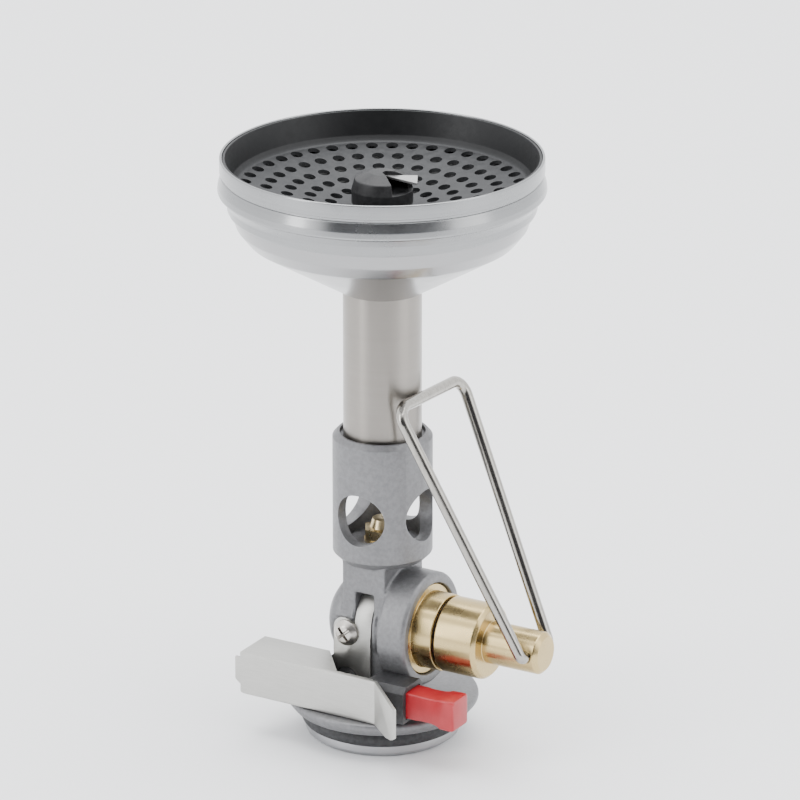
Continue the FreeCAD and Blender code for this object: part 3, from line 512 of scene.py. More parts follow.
LIE_DOWN = (0, -math.pi / 2, 0)
VALVE = (0, 0, VALVE_HEIGHT * MM)
head_satin = turned_metal(
    "head satin steel", light=(0.33, 0.335, 0.335), dark=(0.25, 0.255, 0.26), roughness=0.24,
    lines=4000.0, depth=0.004, streaks=0.6, smudge=0.04)
cone_polish = turned_metal(
    "cone polished steel", light=(0.36, 0.36, 0.36), dark=(0.29, 0.29, 0.295), roughness=0.2,
    lines=3500.0, depth=0.003, streaks=0.4, smudge=0.04)
tube_steel = turned_metal(
    "tube brushed steel", light=(0.30, 0.28, 0.255), dark=(0.25, 0.233, 0.213), roughness=0.3,
    lines=9000.0, depth=0.001, streaks=0.85, smudge=0.03)
ring_alloy = turned_metal(
    "base ring alloy", light=(0.42, 0.42, 0.43), dark=(0.34, 0.34, 0.35), roughness=0.3,
    lines=4000.0, depth=0.004, streaks=0.4)
brass = turned_metal(
    "turned brass", light=(0.56, 0.43, 0.21), dark=(0.49, 0.37, 0.17), roughness=0.26,
    lines=6000.0, depth=0.002, streaks=0.6, centre=VALVE, turn=LIE_DOWN, axis="X", smudge=0.03)
brass_upright = turned_metal(
    "turned brass, upright", light=(0.80, 0.66, 0.40), dark=(0.66, 0.53, 0.30), roughness=0.26,
    lines=6000.0, depth=0.003, streaks=0.3)
sheet_steel = drawn_metal(
    "rolled bracket steel", light=(0.50, 0.495, 0.47), dark=(0.46, 0.455, 0.43), roughness=0.42,
    scale=(500.0, 6000.0, 6000.0), depth=0.0005, smudge=0.03)
wire_steel = drawn_metal(
    "polished wire", light=(0.40, 0.385, 0.35), dark=(0.33, 0.315, 0.29), roughness=0.17,
    scale=(2500.0, 2500.0, 400.0), depth=0.0015)
spring_steel = drawn_metal(
    "spring wire", light=(0.5, 0.5, 0.5), dark=(0.38, 0.38, 0.39), roughness=0.3,
    scale=(900.0, 9000.0, 9000.0), depth=0.002)
nickel = drawn_metal(
    "nickel plate", light=(0.56, 0.53, 0.49), dark=(0.48, 0.455, 0.42), roughness=0.3,
    scale=(1500.0, 1500.0, 1500.0), depth=0.001)
tongue_steel = drawn_metal(
    "cut sheet edge", light=(0.52, 0.52, 0.51), dark=(0.44, 0.44, 0.44), roughness=0.35,
    scale=(6000.0, 600.0, 6000.0), depth=0.003)
print("metals:", len(bpy.data.materials))

# %% Cast alloy
cast_alloy, tree, shader = start_material("cast alloy", metallic=0.62)
cast = place_group(tree, CAST, Scale=1600.0)
worn = place_group(tree, WEAR, Amount=0.4, Width=0.0003, Patchiness=0.6)
marks = place_group(tree, MARKS, Scale=400.0, Amount=0.06)
colour = blend_colours(tree, cast.outputs["Mottle"], (0.150, 0.150, 0.154), (0.185, 0.185, 0.19))
bare = (0.30, 0.30, 0.31)
feed(tree, shader.inputs["Base Color"], blend_colours(tree, worn.outputs["Mask"], colour, bare))
roughen(tree, shader, 0.42, marks.outputs["Roughness change"])
add_bump(tree, shader, cast.outputs["Height"], 0.012)

# %% Heat-darkened plate, black hood and gauze
DUST_GREY = (0.3, 0.3, 0.3)


def dark_metal(name, low, high, worn_colour, roughness, metallic, wear, dust, scale, above=None):
    """Above the given height, in millimetres, the metal is made darker still."""
    material, tree, shader = start_material(name, metallic=metallic)
    cast = place_group(tree, CAST, Scale=scale)
    worn = place_group(tree, WEAR, Amount=wear, Width=0.00018)
    dusty = place_group(tree, DUST, Amount=dust)
    colour = blend_colours(tree, cast.outputs["Mottle"], low, high)
    if above:
        # Above the given height the colour is darkened to 0.3 of the low colour.
        place = tree.nodes.new("ShaderNodeSeparateXYZ")
        feed(tree, place.inputs[0], tree.nodes.new("ShaderNodeTexCoord").outputs["Object"])
        darker_above = spread_node(tree, place.outputs["Z"], (above - 0.5) * MM, (above + 0.5) * MM)
        colour = blend_colours(tree, darker_above, colour, tuple(part * 0.3 for part in low))
    colour = blend_colours(tree, worn.outputs["Mask"], colour, worn_colour)
    feed(tree, shader.inputs["Base Color"], blend_colours(tree, dusty.outputs["Mask"], colour, DUST_GREY))
    roughen(tree, shader, roughness, math_node(tree, "MULTIPLY", cast.outputs["Mottle"], 0.08))
    add_bump(tree, shader, cast.outputs["Height"], 0.012)
    return material


plate_dark = dark_metal(
    "heat-darkened plate", low=(0.030, 0.031, 0.033), high=(0.044, 0.045, 0.047),
    worn_colour=(0.10, 0.10, 0.105), roughness=0.42, metallic=0.45, wear=0.5, dust=0.03, scale=900.0,
    above=83.9)
hood_black = dark_metal(
    "black hood", low=(0.008, 0.008, 0.009), high=(0.018, 0.018, 0.019),
    worn_colour=(0.08, 0.08, 0.08), roughness=0.45, metallic=0.2, wear=0.5, dust=0.05, scale=900.0)
gauze_dark = dark_metal(
    "gauze", low=(0.01, 0.01, 0.01), high=(0.04, 0.04, 0.04),
    worn_colour=(0.1, 0.1, 0.1), roughness=0.6, metallic=0.4, wear=0.1, dust=0.0, scale=2500.0)


# %% Plastics, rubber and ceramic
def moulded(name, low, high, roughness, scale, depth, wear_colour, wear, **constants):
    material, tree, shader = start_material(name, **constants)
    cast = place_group(tree, CAST, Scale=scale)
    worn = place_group(tree, WEAR, Amount=wear)
    marks = place_group(tree, MARKS, Amount=0.1)
    colour = blend_colours(tree, cast.outputs["Mottle"], low, high)
    feed(tree, shader.inputs["Base Color"], blend_colours(tree, worn.outputs["Mask"], colour, wear_colour))
    roughen(tree, shader, roughness, marks.outputs["Roughness change"])
    add_bump(tree, shader, cast.outputs["Height"], depth)
    return material


red_plastic = moulded(
    "red plastic", low=(0.30, 0.006, 0.012), high=(0.34, 0.009, 0.016), roughness=0.35, scale=500.0,
    depth=0.004, wear_colour=(0.48, 0.07, 0.08), wear=0.5, Coat_Weight=0.1, Coat_Roughness=0.3)
black_plastic = moulded(
    "black plastic", low=(0.012, 0.012, 0.013), high=(0.022, 0.022, 0.024), roughness=0.45, scale=1800.0,
    depth=0.006, wear_colour=(0.08, 0.08, 0.085), wear=0.5)
black_rubber = moulded(
    "black rubber", low=(0.010, 0.010, 0.011), high=(0.024, 0.024, 0.026), roughness=0.55, scale=1500.0,
    depth=0.012, wear_colour=(0.06, 0.06, 0.06), wear=0.4)
ceramic = moulded(
    "glazed ceramic", low=(0.72, 0.70, 0.65), high=(0.8, 0.78, 0.73), roughness=0.2, scale=500.0,
    depth=0.003, wear_colour=(0.85, 0.83, 0.8), wear=0.2)
crystal = moulded(
    "fired crystal", low=(0.32, 0.27, 0.2), high=(0.4, 0.34, 0.27), roughness=0.5, scale=1200.0,
    depth=0.006, wear_colour=(0.5, 0.45, 0.4), wear=0.2)
sleeve = moulded(
    "lead sleeve", low=(0.36, 0.35, 0.33), high=(0.44, 0.43, 0.41), roughness=0.5, scale=1200.0,
    depth=0.004, wear_colour=(0.5, 0.5, 0.5), wear=0.2)
print("materials:", ", ".join(material.name for material in bpy.data.materials))

# %% [markdown]
# ## The burner head
# The head is two spun pieces: a bowl that opens like a funnel from the mixing tube, and a turned rim with a
# groove for clip-on pot supports. A lathe is the natural tool for both. The rim's bands are what catch the
# light, so each band has its own small radius at its edges.

# %% Bowl and rim
bowl = lathe("head_bowl", [
    (TUBE_RADIUS + 0.02, 68.42, 0.05), (TUBE_RADIUS + 0.24, 68.42, 0.1), (19.3, 76.3, 1.4), (20.9, 78.3, 1.4),
    (21.4, 79.9, 0.6), (21.58, 81.0, 0.3), (21.6, 82.78, 0.05), (21.05, 82.78, 0.05), (21.0, 80.5, 0.6),
    (20.5, 79.0, 1.0), (18.85, 76.9, 0.6), (TUBE_RADIUS + 0.02, 69.15, 0.05)], steps=192)
finish(bowl, cone_polish, "burner_body", "head_steel", "burner_bowl")
rim = lathe("head_rim", [
    (21.62, 80.4, 0.05), (21.95, 80.45, 0.1), (22.1, 80.75, 0.12), (22.25, 81.9, 0.8), (23.05, 83.1, 0.5),
    (23.4, 83.3, 0.12), (23.48, 83.55, 0.12), (23.4, 84.3, 0.8), (23.0, 85.65, 0.4), (22.82, 85.75, 0.08),
    (22.82, 86.1, 0.08), (23.17, 86.22, 0.08),
    (23.17, 88.28, 0.18), (22.8, 88.28, 0.12), (22.76, 87.6, 0.1), (21.97, 84.4, 0.3), (21.62, 83.6, 0.1)],
    steps=192)
finish(rim, head_satin, "burner_body", "head_steel", "burner_rim")

# %% [markdown]
# ## The flame plate
# The plate is a shallow dish pressed from thin steel, with five rings of round holes. Each ring inwards has
# six holes fewer. Modelling 150 holes by hand would be slow and hard to change, so Geometry Nodes repeat a
# ring of drills for each row, with the rows, sectors, turn and hole size as named inputs, and one boolean
# takes them all out of the dish.

# %% Geometry Nodes tools
def start_tree(name, inputs):
    """An empty modifier tree that takes a mesh, the named numbers and a material."""
    tree = bpy.data.node_groups.new(name, "GeometryNodeTree")
    tree.is_modifier = True
    tree.interface.new_socket("Geometry", in_out="INPUT", socket_type="NodeSocketGeometry")
    for label, kind, default in inputs:
        socket = tree.interface.new_socket(label, in_out="INPUT", socket_type=f"NodeSocket{kind}")
        socket.default_value = default
    tree.interface.new_socket("Material", in_out="INPUT", socket_type="NodeSocketMaterial")
    tree.interface.new_socket("Geometry", in_out="OUTPUT", socket_type="NodeSocketGeometry")
    return tree, tree.nodes.new("NodeGroupInput"), tree.nodes.new("NodeGroupOutput")


def end_tree(tree, given, result, mesh):
    """Make instances real, set the material and send the mesh out."""
    real = tree.nodes.new("GeometryNodeRealizeInstances")
    feed(tree, real.inputs[0], mesh)
    paint = tree.nodes.new("GeometryNodeSetMaterial")
    feed(tree, paint.inputs["Geometry"], real.outputs[0])
    feed(tree, paint.inputs["Material"], given.outputs["Material"])
    feed(tree, result.inputs["Geometry"], paint.outputs[0])


# %% Drill tree
DRILL_SIDES, DRILL_LENGTH = 22, 0.012
drill, given, result = start_tree("drill rings of holes", (
    ("Rings", "Int", 5), ("Sectors", "Int", 6), ("Outer ring radius", "Float", 0.0198),
    ("Ring step", "Float", 0.0031), ("Hole radius", "Float", 0.0009), ("Drill height", "Float", 0.084),
    ("Turn", "Float", 0.042), ("Outer ring turn", "Float", 0.038)))
begin = drill.nodes.new("GeometryNodeRepeatInput")
end = drill.nodes.new("GeometryNodeRepeatOutput")
begin.pair_with_output(end)
feed(drill, begin.inputs["Iterations"], given.outputs["Rings"])
rings_left = math_node(drill, "SUBTRACT", math_node(drill, "ADD", given.outputs["Rings"], 2.0),
                       begin.outputs["Iteration"])
ring_radius = math_node(drill, "SUBTRACT", given.outputs["Outer ring radius"],
                        math_node(drill, "MULTIPLY", given.outputs["Ring step"], begin.outputs["Iteration"]))
circle = drill.nodes.new("GeometryNodeMeshCircle")
feed(drill, circle.inputs["Vertices"], math_node(drill, "MULTIPLY", given.outputs["Sectors"], rings_left))
feed(drill, circle.inputs["Radius"], ring_radius)
outermost = math_node(drill, "LESS_THAN", begin.outputs["Iteration"], 0.5)
turn = drill.nodes.new("ShaderNodeCombineXYZ")
feed(drill, turn.inputs["Z"], math_node(drill, "ADD", given.outputs["Turn"], math_node(
    drill, "MULTIPLY", given.outputs["Outer ring turn"], outermost)))
turned_ring = drill.nodes.new("GeometryNodeTransform")
drill.links.new(circle.outputs["Mesh"], turned_ring.inputs["Geometry"])
drill.links.new(turn.outputs[0], turned_ring.inputs["Rotation"])
join = drill.nodes.new("GeometryNodeJoinGeometry")
drill.links.new(turned_ring.outputs[0], join.inputs[0])
drill.links.new(begin.outputs["Geometry"], join.inputs[0])
drill.links.new(join.outputs[0], end.inputs["Geometry"])
raise_up = drill.nodes.new("GeometryNodeSetPosition")
lift = drill.nodes.new("ShaderNodeCombineXYZ")
feed(drill, lift.inputs["Z"], given.outputs["Drill height"])
feed(drill, raise_up.inputs["Offset"], lift.outputs[0])
drill.links.new(end.outputs["Geometry"], raise_up.inputs["Geometry"])
bit = drill.nodes.new("GeometryNodeMeshCylinder")
bit.inputs["Vertices"].default_value = DRILL_SIDES
bit.inputs["Depth"].default_value = DRILL_LENGTH
feed(drill, bit.inputs["Radius"], given.outputs["Hole radius"])
bits = drill.nodes.new("GeometryNodeInstanceOnPoints")
drill.links.new(raise_up.outputs["Geometry"], bits.inputs["Points"])
drill.links.new(bit.outputs["Mesh"], bits.inputs["Instance"])
real = drill.nodes.new("GeometryNodeRealizeInstances")
drill.links.new(bits.outputs[0], real.inputs[0])
boolean = drill.nodes.new("GeometryNodeMeshBoolean")
boolean.operation = "DIFFERENCE"
boolean.solver = "EXACT"
drill.links.new(given.outputs["Geometry"], boolean.inputs["Mesh 1"])
drill.links.new(real.outputs[0], boolean.inputs["Mesh 2"])
end_tree(drill, given, result, boolean.outputs["Mesh"])
print("drill tree:", len(drill.nodes), "nodes")


# %% Perforated plate
def run_tree(piece, tree, **values):
    """Put a Geometry Nodes tree on a piece, set its inputs by identifier, and keep the plain result."""
    modifier = piece.modifiers.new(tree.name, "NODES")
    modifier.node_group = tree
    for item in tree.interface.items_tree:
        label = item.name.replace(" ", "_")
        if item.in_out == "INPUT" and label in values:
            modifier[item.identifier] = values[label]
    return apply_modifiers(piece)


plate = lathe("flame_plate", [
    (1.7, 80.14, 0.05), (5.0, 80.14, 0.8), (20.9, 83.23, 0.6), (21.94, 84.45, 0.5), (22.73, 88.12, 0.05),
    (22.4, 88.12, 0.05), (21.5, 84.7, 0.6), (20.9, 83.8, 0.7), (5.0, 80.71, 0.8), (1.7, 80.71, 0.05)],
    steps=168)
run_tree(plate, drill, Rings=5, Sectors=6, Hole_radius=0.0009, Material=plate_dark)
clean(plate.data)
finish(plate, plate_dark, "burner_body", "charcoal_plate", "burner_plate")

# %% [markdown]
# ## Spark gap
# A black hood in the middle of the plate guards the electrode. Its flat-topped dome is open on one side,
# where a bright cut tongue of sheet reaches across the gap. The hood is a lathe piece with a wedge cut out of
# its dome, and a dark collar inside it keeps the eye from falling through to the lead below.

# %% Hood and tongue
hood = lathe("spark_hood", [
    (1.7, 81.42, 0.05), (4.4, 81.42, 0.1), (4.4, 83.4, 0.25), (3.95, 85.0, 0.4), (1.8, 85.88, 0.3),
    (0, 85.97), (0, 85.42), (1.6, 85.3, 0.2), (3.4, 84.6, 0.3), (3.75, 83.3), (1.0, 83.1), (1.0, 82.7),
    (3.7, 82.7), (3.7, 82.0), (1.7, 82.0)], steps=96)
wedge = [(0.25, -0.45), (4.6, -3.9), (6.5, -1.6), (5.6, 3.6), (0.25, 0.45)]
cut(hood, prism("wedge", wedge, "XY", start=83.45, end=88))
finish(hood, hood_black, "burner_body", "black_hood", "ignition_hood")
tongue = prism(
    "spark_tongue_plate", [(-0.08, 0.1, 0.05), (6.15, -0.78, 0.12), (4.38, 2.45, 0.12)], "XY",
    start=85.07, end=85.38)
finish(tongue, tongue_steel, "burner_body", "spark_steel", "spark_tongue")

# %% [markdown]
# ## Mixing tube
# A plain length of drawn tube, polished on a lathe. Its charm is all in the finish: fine rings round it
# pull the studio lights into long bands from top to bottom.

# %% Tube
tube = lathe("tube", [
    (5.2, 40.0, 0.1), (TUBE_RADIUS, 40.0, 0.1), (TUBE_RADIUS, 69.0, 0.1), (5.2, 69.0, 0.1)], steps=128)
finish(tube, tube_steel, "burner_body", "tube_steel", "mixing_tube")

# %% [markdown]
# ## The valve casting
# The body is one pressure casting, machined only where other pieces meet it. Real castings have no sharp
# outer edge. Bevelling such a mix of curves one edge at a time is fragile, so a voxel remesh followed by a
# little smoothing rounds all of them at once, as the mould does. The barrel at the top is turned, so it
# stays a crisp lathe piece with four drilled air holes, and is joined on afterwards.

# %% Casting
def join_meshes(piece, *others):
    """Add the other pieces' meshes to the first piece."""
    work = bmesh.new()
    work.from_mesh(piece.data)
    for other in others:
        work.from_mesh(other.data)
        bpy.data.objects.remove(other)
    work.to_mesh(piece.data)
    work.free()


casting = cad_copy("casting", "valve_casting")
rib = [(2.9, 24.6), (7.6, 24.6), (3.2, 28.1), (2.9, 28.1)]
join_meshes(casting, prism("rib", rib, "XZ", start=-1.1, end=1.1))
cut(casting, lathe("barrel_room", [(0, 28.3), (9, 28.3), (9, 50), (0, 50)]))
remesh = casting.modifiers.new("one skin", "REMESH")
remesh.mode = "VOXEL"
remesh.voxel_size = 0.23 * MM
soften = casting.modifiers.new("soften", "SMOOTH")
soften.factor = 0.5
soften.iterations = 3
apply_modifiers(casting)
casting.data.shade_smooth()
barrel = lathe("barrel", [
    (1.9, 27.47), (6.25, 27.47, 0.12), (7.28, 28.5, 0.3), (7.28, 46.05, 0.3), (6.6, 46.78, 0.2),
    (6.21, 46.78, 0.1), (6.19, 46.1), (5.71, 46.1), (5.71, 40.0), (5.5, 40.0), (5.5, 29.8), (1.9, 29.8)],
    steps=160)
air_drill = [(0, -9), (3.9, -9), (3.9, 9), (0, 9)]
cut(barrel, *[lathe(f"air_{axis}", air_drill, axis=axis, centre=(0, 0, 35), steps=72) for axis in "XY"])
bevelled(barrel, width=0.16, angle=50, sharp_angle=50)
join_meshes(casting, barrel)
finish(casting, cast_alloy, "burner_body", "cast_alloy", "valve_casting")

# %% [markdown]
# ## Base
# Under the casting's flange lie a rubber ring, which grips the canister's dome, and a turned ring that the
# stove stands on. The brass socket inside carries the canister thread. A thread is a ridge along a helix,
# so Geometry Nodes sweep a small section along a spiral.

# %% Rings under the flange
base_ring = lathe("foot_ring", [
    (6.52, 0.02, 0.1), (10.5, 0.02, 0.3), (11.38, 0.75, 0.35), (11.38, 1.88, 0.12), (6.52, 1.88, 0.1)])
finish(base_ring, ring_alloy, "burner_body", "cast_alloy", "base_ring")
grip_ring = lathe("grip_ring", [
    (9.02, 1.92, 0.1), (11.7, 1.92, 0.5), (12.18, 3.0, 0.9), (11.7, 4.28, 0.5), (9.02, 4.28, 0.1)])
finish(grip_ring, black_rubber, "burner_body", "black_rubber", "base_rubber_ring")

# %% Thread tree
STEPS_PER_TURN, RIDGE_CORNERS = 64, 4
thread, given, result = start_tree("thread ridge", (
    ("Turns", "Float", 3.6), ("Ridge radius", "Float", 0.0055), ("Length", "Float", 0.003),
    ("Ridge size", "Float", 0.0003), ("Start height", "Float", 0.0003)))
spiral = thread.nodes.new("GeometryNodeCurveSpiral")
spiral.inputs["Resolution"].default_value = STEPS_PER_TURN
feed(thread, spiral.inputs["Rotations"], given.outputs["Turns"])
feed(thread, spiral.inputs["Start Radius"], given.outputs["Ridge radius"])
feed(thread, spiral.inputs["End Radius"], given.outputs["Ridge radius"])
feed(thread, spiral.inputs["Height"], given.outputs["Length"])
lifted = thread.nodes.new("GeometryNodeSetPosition")
lift = thread.nodes.new("ShaderNodeCombineXYZ")
feed(thread, lift.inputs["Z"], given.outputs["Start height"])
feed(thread, lifted.inputs["Offset"], lift.outputs[0])
thread.links.new(spiral.outputs[0], lifted.inputs["Geometry"])
section = thread.nodes.new("GeometryNodeCurvePrimitiveCircle")
section.inputs["Resolution"].default_value = RIDGE_CORNERS
feed(thread, section.inputs["Radius"], given.outputs["Ridge size"])
ridge = thread.nodes.new("GeometryNodeCurveToMesh")
ridge.inputs["Fill Caps"].default_value = True
thread.links.new(lifted.outputs[0], ridge.inputs["Curve"])
thread.links.new(section.outputs[0], ridge.inputs["Profile Curve"])
join = thread.nodes.new("GeometryNodeJoinGeometry")
thread.links.new(ridge.outputs[0], join.inputs[0])
thread.links.new(given.outputs["Geometry"], join.inputs[0])
end_tree(thread, given, result, join.outputs[0])

# %% Threaded socket
socket = lathe("threaded_socket", [
    (5.5, 0.02, 0.15), (6.48, 0.02, 0.1), (6.48, 6.18), (5.6, 6.18), (5.6, 3.6), (5.5, 3.55)], steps=96)
run_tree(socket, thread, Turns=3.6, Length=0.0031, Material=brass_upright)
clean(socket.data)
finish(socket, brass_upright, "burner_body", "brass", "canister_socket")

# %% [markdown]
# ## Bonnet, spindle and knob
# These are lathe work in brass, about the valve's own axis. The stem's end has a cross hole for the wire
# handle and a blind one from below. A boolean cuts them, which keeps the rest of the turned mesh clean.

# %% Bonnet
bonnet = lathe("brass_bonnet", [
    (5.0, 4.82), (6.81, 4.82, 0.1), (6.81, 7.65, 0.2), (6.6, 7.88, 0.12), (5.72, 7.88, 0.1),
    (5.68, 8.0), (5.68, 11.18, 0.15), (5.05, 11.18, 0.1), (5.05, 10.42), (4.37, 10.42), (4.37, 7.88),
    (5.0, 7.88)], axis="X", centre=(0, 0, VALVE_HEIGHT))
finish(bonnet, brass, "burner_body", "brass", "bonnet")

# %% Spindle with its cross holes
ROLL = Matrix.Rotation(SPINDLE_ROLL, 4, "X")
spindle = lathe("brass_spindle", [
    (0, 15.0), (3.4, 15.0), (3.4, 6.52), (4.28, 6.52, 0.1), (4.28, 6.75), (3.9, 6.75), (3.9, 7.4),
    (4.28, 7.4), (4.28, 11.52), (5.35, 11.52, 0.1), (5.58, 11.75, 0.15), (5.58, 17.75, 0.35),
    (5.05, 18.28, 0.35), (3.2, 18.28, 0.05), (3.13, 18.35, 0.05), (3.13, 26.6, 0.3), (2.5, 27.17, 0.25),
    (0, 27.17)],
    axis="X", centre=(0, 0, VALVE_HEIGHT))
holes = [lathe(f"hole_{axis}", [(0, -5), (0.92, -5), (0.92, end), (0, end)], axis=axis, steps=40)
         for axis, end in (("Y", 5), ("Z", 0))]
for hole in holes:
    hole.data.transform(Matrix.Translation(HANDLE_PIVOT * MM) @ ROLL)
cut(spindle, *holes, sharp_angle=28)
finish(spindle, brass, "spindle_group", "brass", "spindle")

# %% [markdown]
# ## Wire handle
# The handle is one length of polished wire, bent at four corners, with two feet that turn into the stem's
# cross hole. A round section carried along a route of straight runs and round bends makes it, because a
# bevelled curve would pinch at such tight bends.

# %% Handle
FOOT, TOP, LENGTH, WIRE = 4.1, 9.4, 40.2, 0.86
TUBE_GAP = 0.15
lean_angle = math.asin((HANDLE_PIVOT.x - TUBE_RADIUS - WIRE - TUBE_GAP) / LENGTH)
pose = Matrix.Rotation(SPINDLE_ROLL, 3, "X") @ Matrix.Rotation(-lean_angle, 3, "Y")
corners = [(0, -1.3, 0), (0, -FOOT, 0), (0, -TOP, LENGTH), (0, TOP, LENGTH), (0, FOOT, 0), (0, 1.3, 0)]
route = [HANDLE_PIVOT + pose @ point for point in bend_route(corners, radii=[1.0, 2.3, 2.3, 1.0])]
handle = wire("wire_handle", route, WIRE, sides=32)
finish(handle, wire_steel, "handle_group", "wire_steel", "handle")

# %% [markdown]
# ## Igniter bracket and screw
# The bracket is one folded sheet: a channel that shields the igniter, a plate held by a cross-head screw, a
# strip hooked over the casting and a flared wing. Folded sheet has wide outer bends and only slightly broken
# cut edges, so the clean CAD copy first gets a round fold along its two outer corners, then a fine bevel on
# the rest.

# %% Bracket
SAME_PLACE = 0.00002
OUTER_FACE = -12.6


def fold(piece, y, z, radius):
    """Round the long edge that runs along X at this place."""
    work = bmesh.new()
    work.from_mesh(piece.data)
    edges = [edge for edge in work.edges if all(
        max(abs(end.co.y - y * MM), abs(end.co.z - z * MM)) < SAME_PLACE for end in edge.verts)]
    bmesh.ops.bevel(work, geom=edges, offset=radius * MM, offset_type="OFFSET", segments=6, profile=0.5,
                    affect="EDGES", clamp_overlap=True)
    work.to_mesh(piece.data)
    work.free()
    print(f"fold at {y}, {z}: {len(edges)} edges")


bracket = cad_copy("sheet_bracket", "igniter_bracket")
fold(bracket, y=OUTER_FACE, z=13.1, radius=0.6)
fold(bracket, y=OUTER_FACE, z=6.45, radius=0.5)
bevelled(bracket, width=0.06, segments=2, angle=35)
finish(bracket, sheet_steel, "burner_body", "bracket_steel", "igniter_bracket")

# %% Cross-head screw
SCREW = Vector((-2.45, 0, 16.9))  # a point on the screw's axis
screw = lathe("cross_head_screw", [
    (0, -7.42), (1.2, -7.32, 0.6), (1.98, -6.6, 0.35), (1.98, -6.12, 0.1), (0.99, -6.1), (0.99, -3.0, 0.2),
    (0, -3.0)], axis="Y", centre=SCREW, steps=64)
arm, half = 1.3, 0.24
cross = [(-arm, -half), (-half, -half), (-half, -arm), (half, -arm), (half, -half), (arm, -half), (arm, half),
         (half, half), (half, arm), (-half, arm), (-half, half), (-arm, half)]
turned = math.radians(40)
sections = []
for depth, scale in ((-7.9, 1.15), (-7.2, 0.92), (-6.4, 0.4)):
    sections.append([SCREW + Vector((
        (x * math.cos(turned) - z * math.sin(turned)) * scale, depth,
        (x * math.sin(turned) + z * math.cos(turned)) * scale)) for x, z in cross])
cut(screw, skin("recess", sections), sharp_angle=28)
finish(screw, nickel, "burner_body", "screw_nickel", "bracket_screw")

# %% [markdown]
# ## Igniter housing and button
# The housing is matte black plastic, and the button is glossy red. The button is waisted: it narrows a
# little behind its head. Rounded rectangles, one behind the other, make that shape with soft edges.

# %% Housing
housing = bevelled(cad_copy("igniter_case", "piezo_housing"), width=0.12)
finish(housing, black_plastic, "burner_body", "black_plastic", "piezo_housing")


# %% Button
IGNITER_Y, IGNITER_Z = -9.2, 9.5


def soft_square(x, left, right, low, high, corner):
    """A rectangle across X with rounded corners, relative to the igniter's axis."""
    outline = rounded([
        (left, low, corner), (right, low, corner), (right, high, corner), (left, high, corner)])
    return [(x, IGNITER_Y + point.x, IGNITER_Z + point.y) for point in outline]


button = skin("push_button", [
    soft_square(8.1, -1.8, 2.05, -1.8, 2.15, 0.25), soft_square(12.0, -1.8, 2.05, -1.8, 2.15, 0.25),
    soft_square(12.6, -1.75, 2.0, -1.75, 2.1, 0.3), soft_square(14.4, -1.8, 2.0, -1.8, 2.12, 0.3),
    soft_square(15.2, -1.95, 2.1, -1.9, 2.2, 0.35), soft_square(16.0, -2.2, 2.2, -2.15, 2.45, 0.4),
    soft_square(17.9, -2.22, 2.22, -2.18, 2.5, 0.4), soft_square(18.2, -2.1, 2.1, -2.05, 2.38, 0.4),
    soft_square(18.28, -1.85, 1.85, -1.8, 2.12, 0.4)], sharp_angle=50)
finish(button, red_plastic, "button_group", "red_plastic", "igniter_button")

# %% [markdown]
# ## Pieces that stay as CAD made them
# The inner parts already have the right shape. They keep their CAD mesh and get a finish that suits them.

# %% Inner parts
INNER = {
    "canister_seal": black_rubber, "valve_probe": brass_upright, "inlet_filter": brass_upright,
    "valve_seat": black_rubber, "poppet": brass, "poppet_spring": spring_steel, "diaphragm": black_rubber,
    "diaphragm_plate": brass, "regulator_spring": spring_steel, "spring_seat": brass,
    "spindle_o_ring": black_rubber, "spindle_stop_ring": spring_steel, "gas_jet": brass_upright,
    "jet_washer": brass_upright, "flame_gauze": gauze_dark, "electrode_insulator": ceramic,
    "electrode": spring_steel, "ignition_lead": sleeve, "piezo_crystal": crystal, "striker": spring_steel,
    "striker_spring": spring_steel, "button_spring": spring_steel}
for node, material in INNER.items():
    cad_nodes[node].data.materials.clear()
    cad_nodes[node].data.materials.append(material)
print("inner parts:", len(INNER))

# %% [markdown]
# ## Floor, light and camera
# Polished metal shows its surroundings more than itself, so the studio matters. A wide soft light hangs
# overhead, a tall one stands at the front left and a weaker one at the right. The world is pale, but what
# metal mirrors of it is darker near the camera, as a real room is.

# %% Floor
mesh = bpy.data.meshes.new("floor")
mesh.from_pydata([(-6, -6, 0), (6, -6, 0), (6, 6, 0), (-6, 6, 0)], [], [(0, 1, 2, 3)])
floor = place_object("floor", mesh)
floor_paint, tree, shader = start_material("pale floor", roughness=0.6)
shader.inputs["Base Color"].default_value = (0.80, 0.805, 0.815, 1.0)
mesh.materials.append(floor_paint)

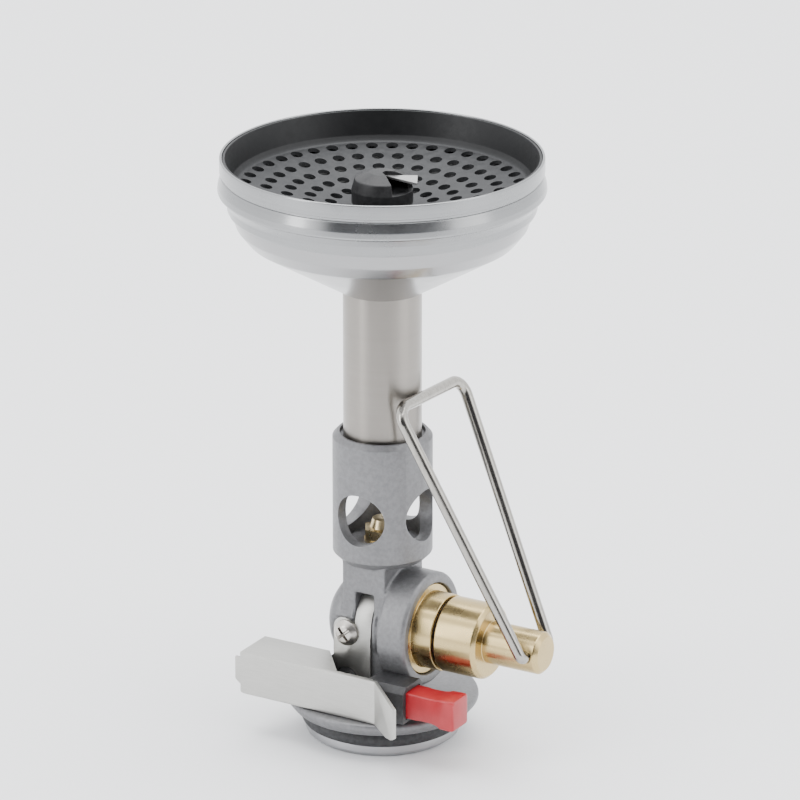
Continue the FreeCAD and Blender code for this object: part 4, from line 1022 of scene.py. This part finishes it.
# %% World
world = bpy.data.worlds.new("studio")
bpy.context.scene.world = world
world.use_nodes = True
tree = world.node_tree
background = tree.nodes["Background"]
PALE, DIM = (0.95, 0.96, 0.98), (0.03, 0.03, 0.035)
direction = tree.nodes.new("ShaderNodeTexCoord").outputs["Generated"]
camera_side = vector_node(tree, "DOT_PRODUCT", direction, (0.49, -0.85, 0.2))
across = vector_node(tree, "DOT_PRODUCT", direction, (0.866, 0.5, 0.0))
crisp = spread_node(tree, camera_side, 0.70, 0.80)
gradual = spread_node(tree, camera_side, 0.25, 0.95)
right = spread_node(tree, across, -0.1, 0.2)
gloom = math_node(tree, "ADD", math_node(tree, "MULTIPLY", gradual, right), math_node(
    tree, "MULTIPLY", crisp, math_node(tree, "SUBTRACT", 1.0, right)))
seen = blend_colours(tree, gloom, PALE, DIM)
glossy = tree.nodes.new("ShaderNodeLightPath").outputs["Is Glossy Ray"]
feed(tree, background.inputs["Color"], blend_colours(tree, glossy, PALE, seen))
background.inputs["Strength"].default_value = 2.3


# %% Lights
def soft_light(name, place, size, power, target=(0, 0, 0.045)):
    light = bpy.data.lights.new(name, "AREA")
    light.shape = "RECTANGLE"
    light.size, light.size_y = size
    light.energy = power
    lamp = place_object(name, light)
    lamp.location = place
    lamp.rotation_euler = (Vector(target) - Vector(place)).to_track_quat("-Z", "Y").to_euler()


soft_light("overhead", (0.0, 0.1, 1.1), (1.3, 1.1), 19.0)
soft_light("front left", (-0.45, -0.75, 0.45), (0.22, 0.7), 2.6)
soft_light("right", (0.9, 0.05, 0.4), (0.5, 0.7), 2.2)

# %% Camera
aim = Vector((2.18, 1.26, 51.36)) * MM
towards = Vector((0.4696, -0.8134, 0.3432)).normalized()
distance = 0.8126
lens = bpy.data.cameras.new("camera")
lens.lens = 253.6
lens.sensor_width = 36.0
lens.clip_start = 0.01
camera = place_object("camera", lens)
camera.location = aim + towards * distance
camera.rotation_euler = (-towards).to_track_quat("-Z", "Y").to_euler()
bpy.context.scene.camera = camera
print("camera: 30 degrees round from the igniter's side, 20 degrees up")
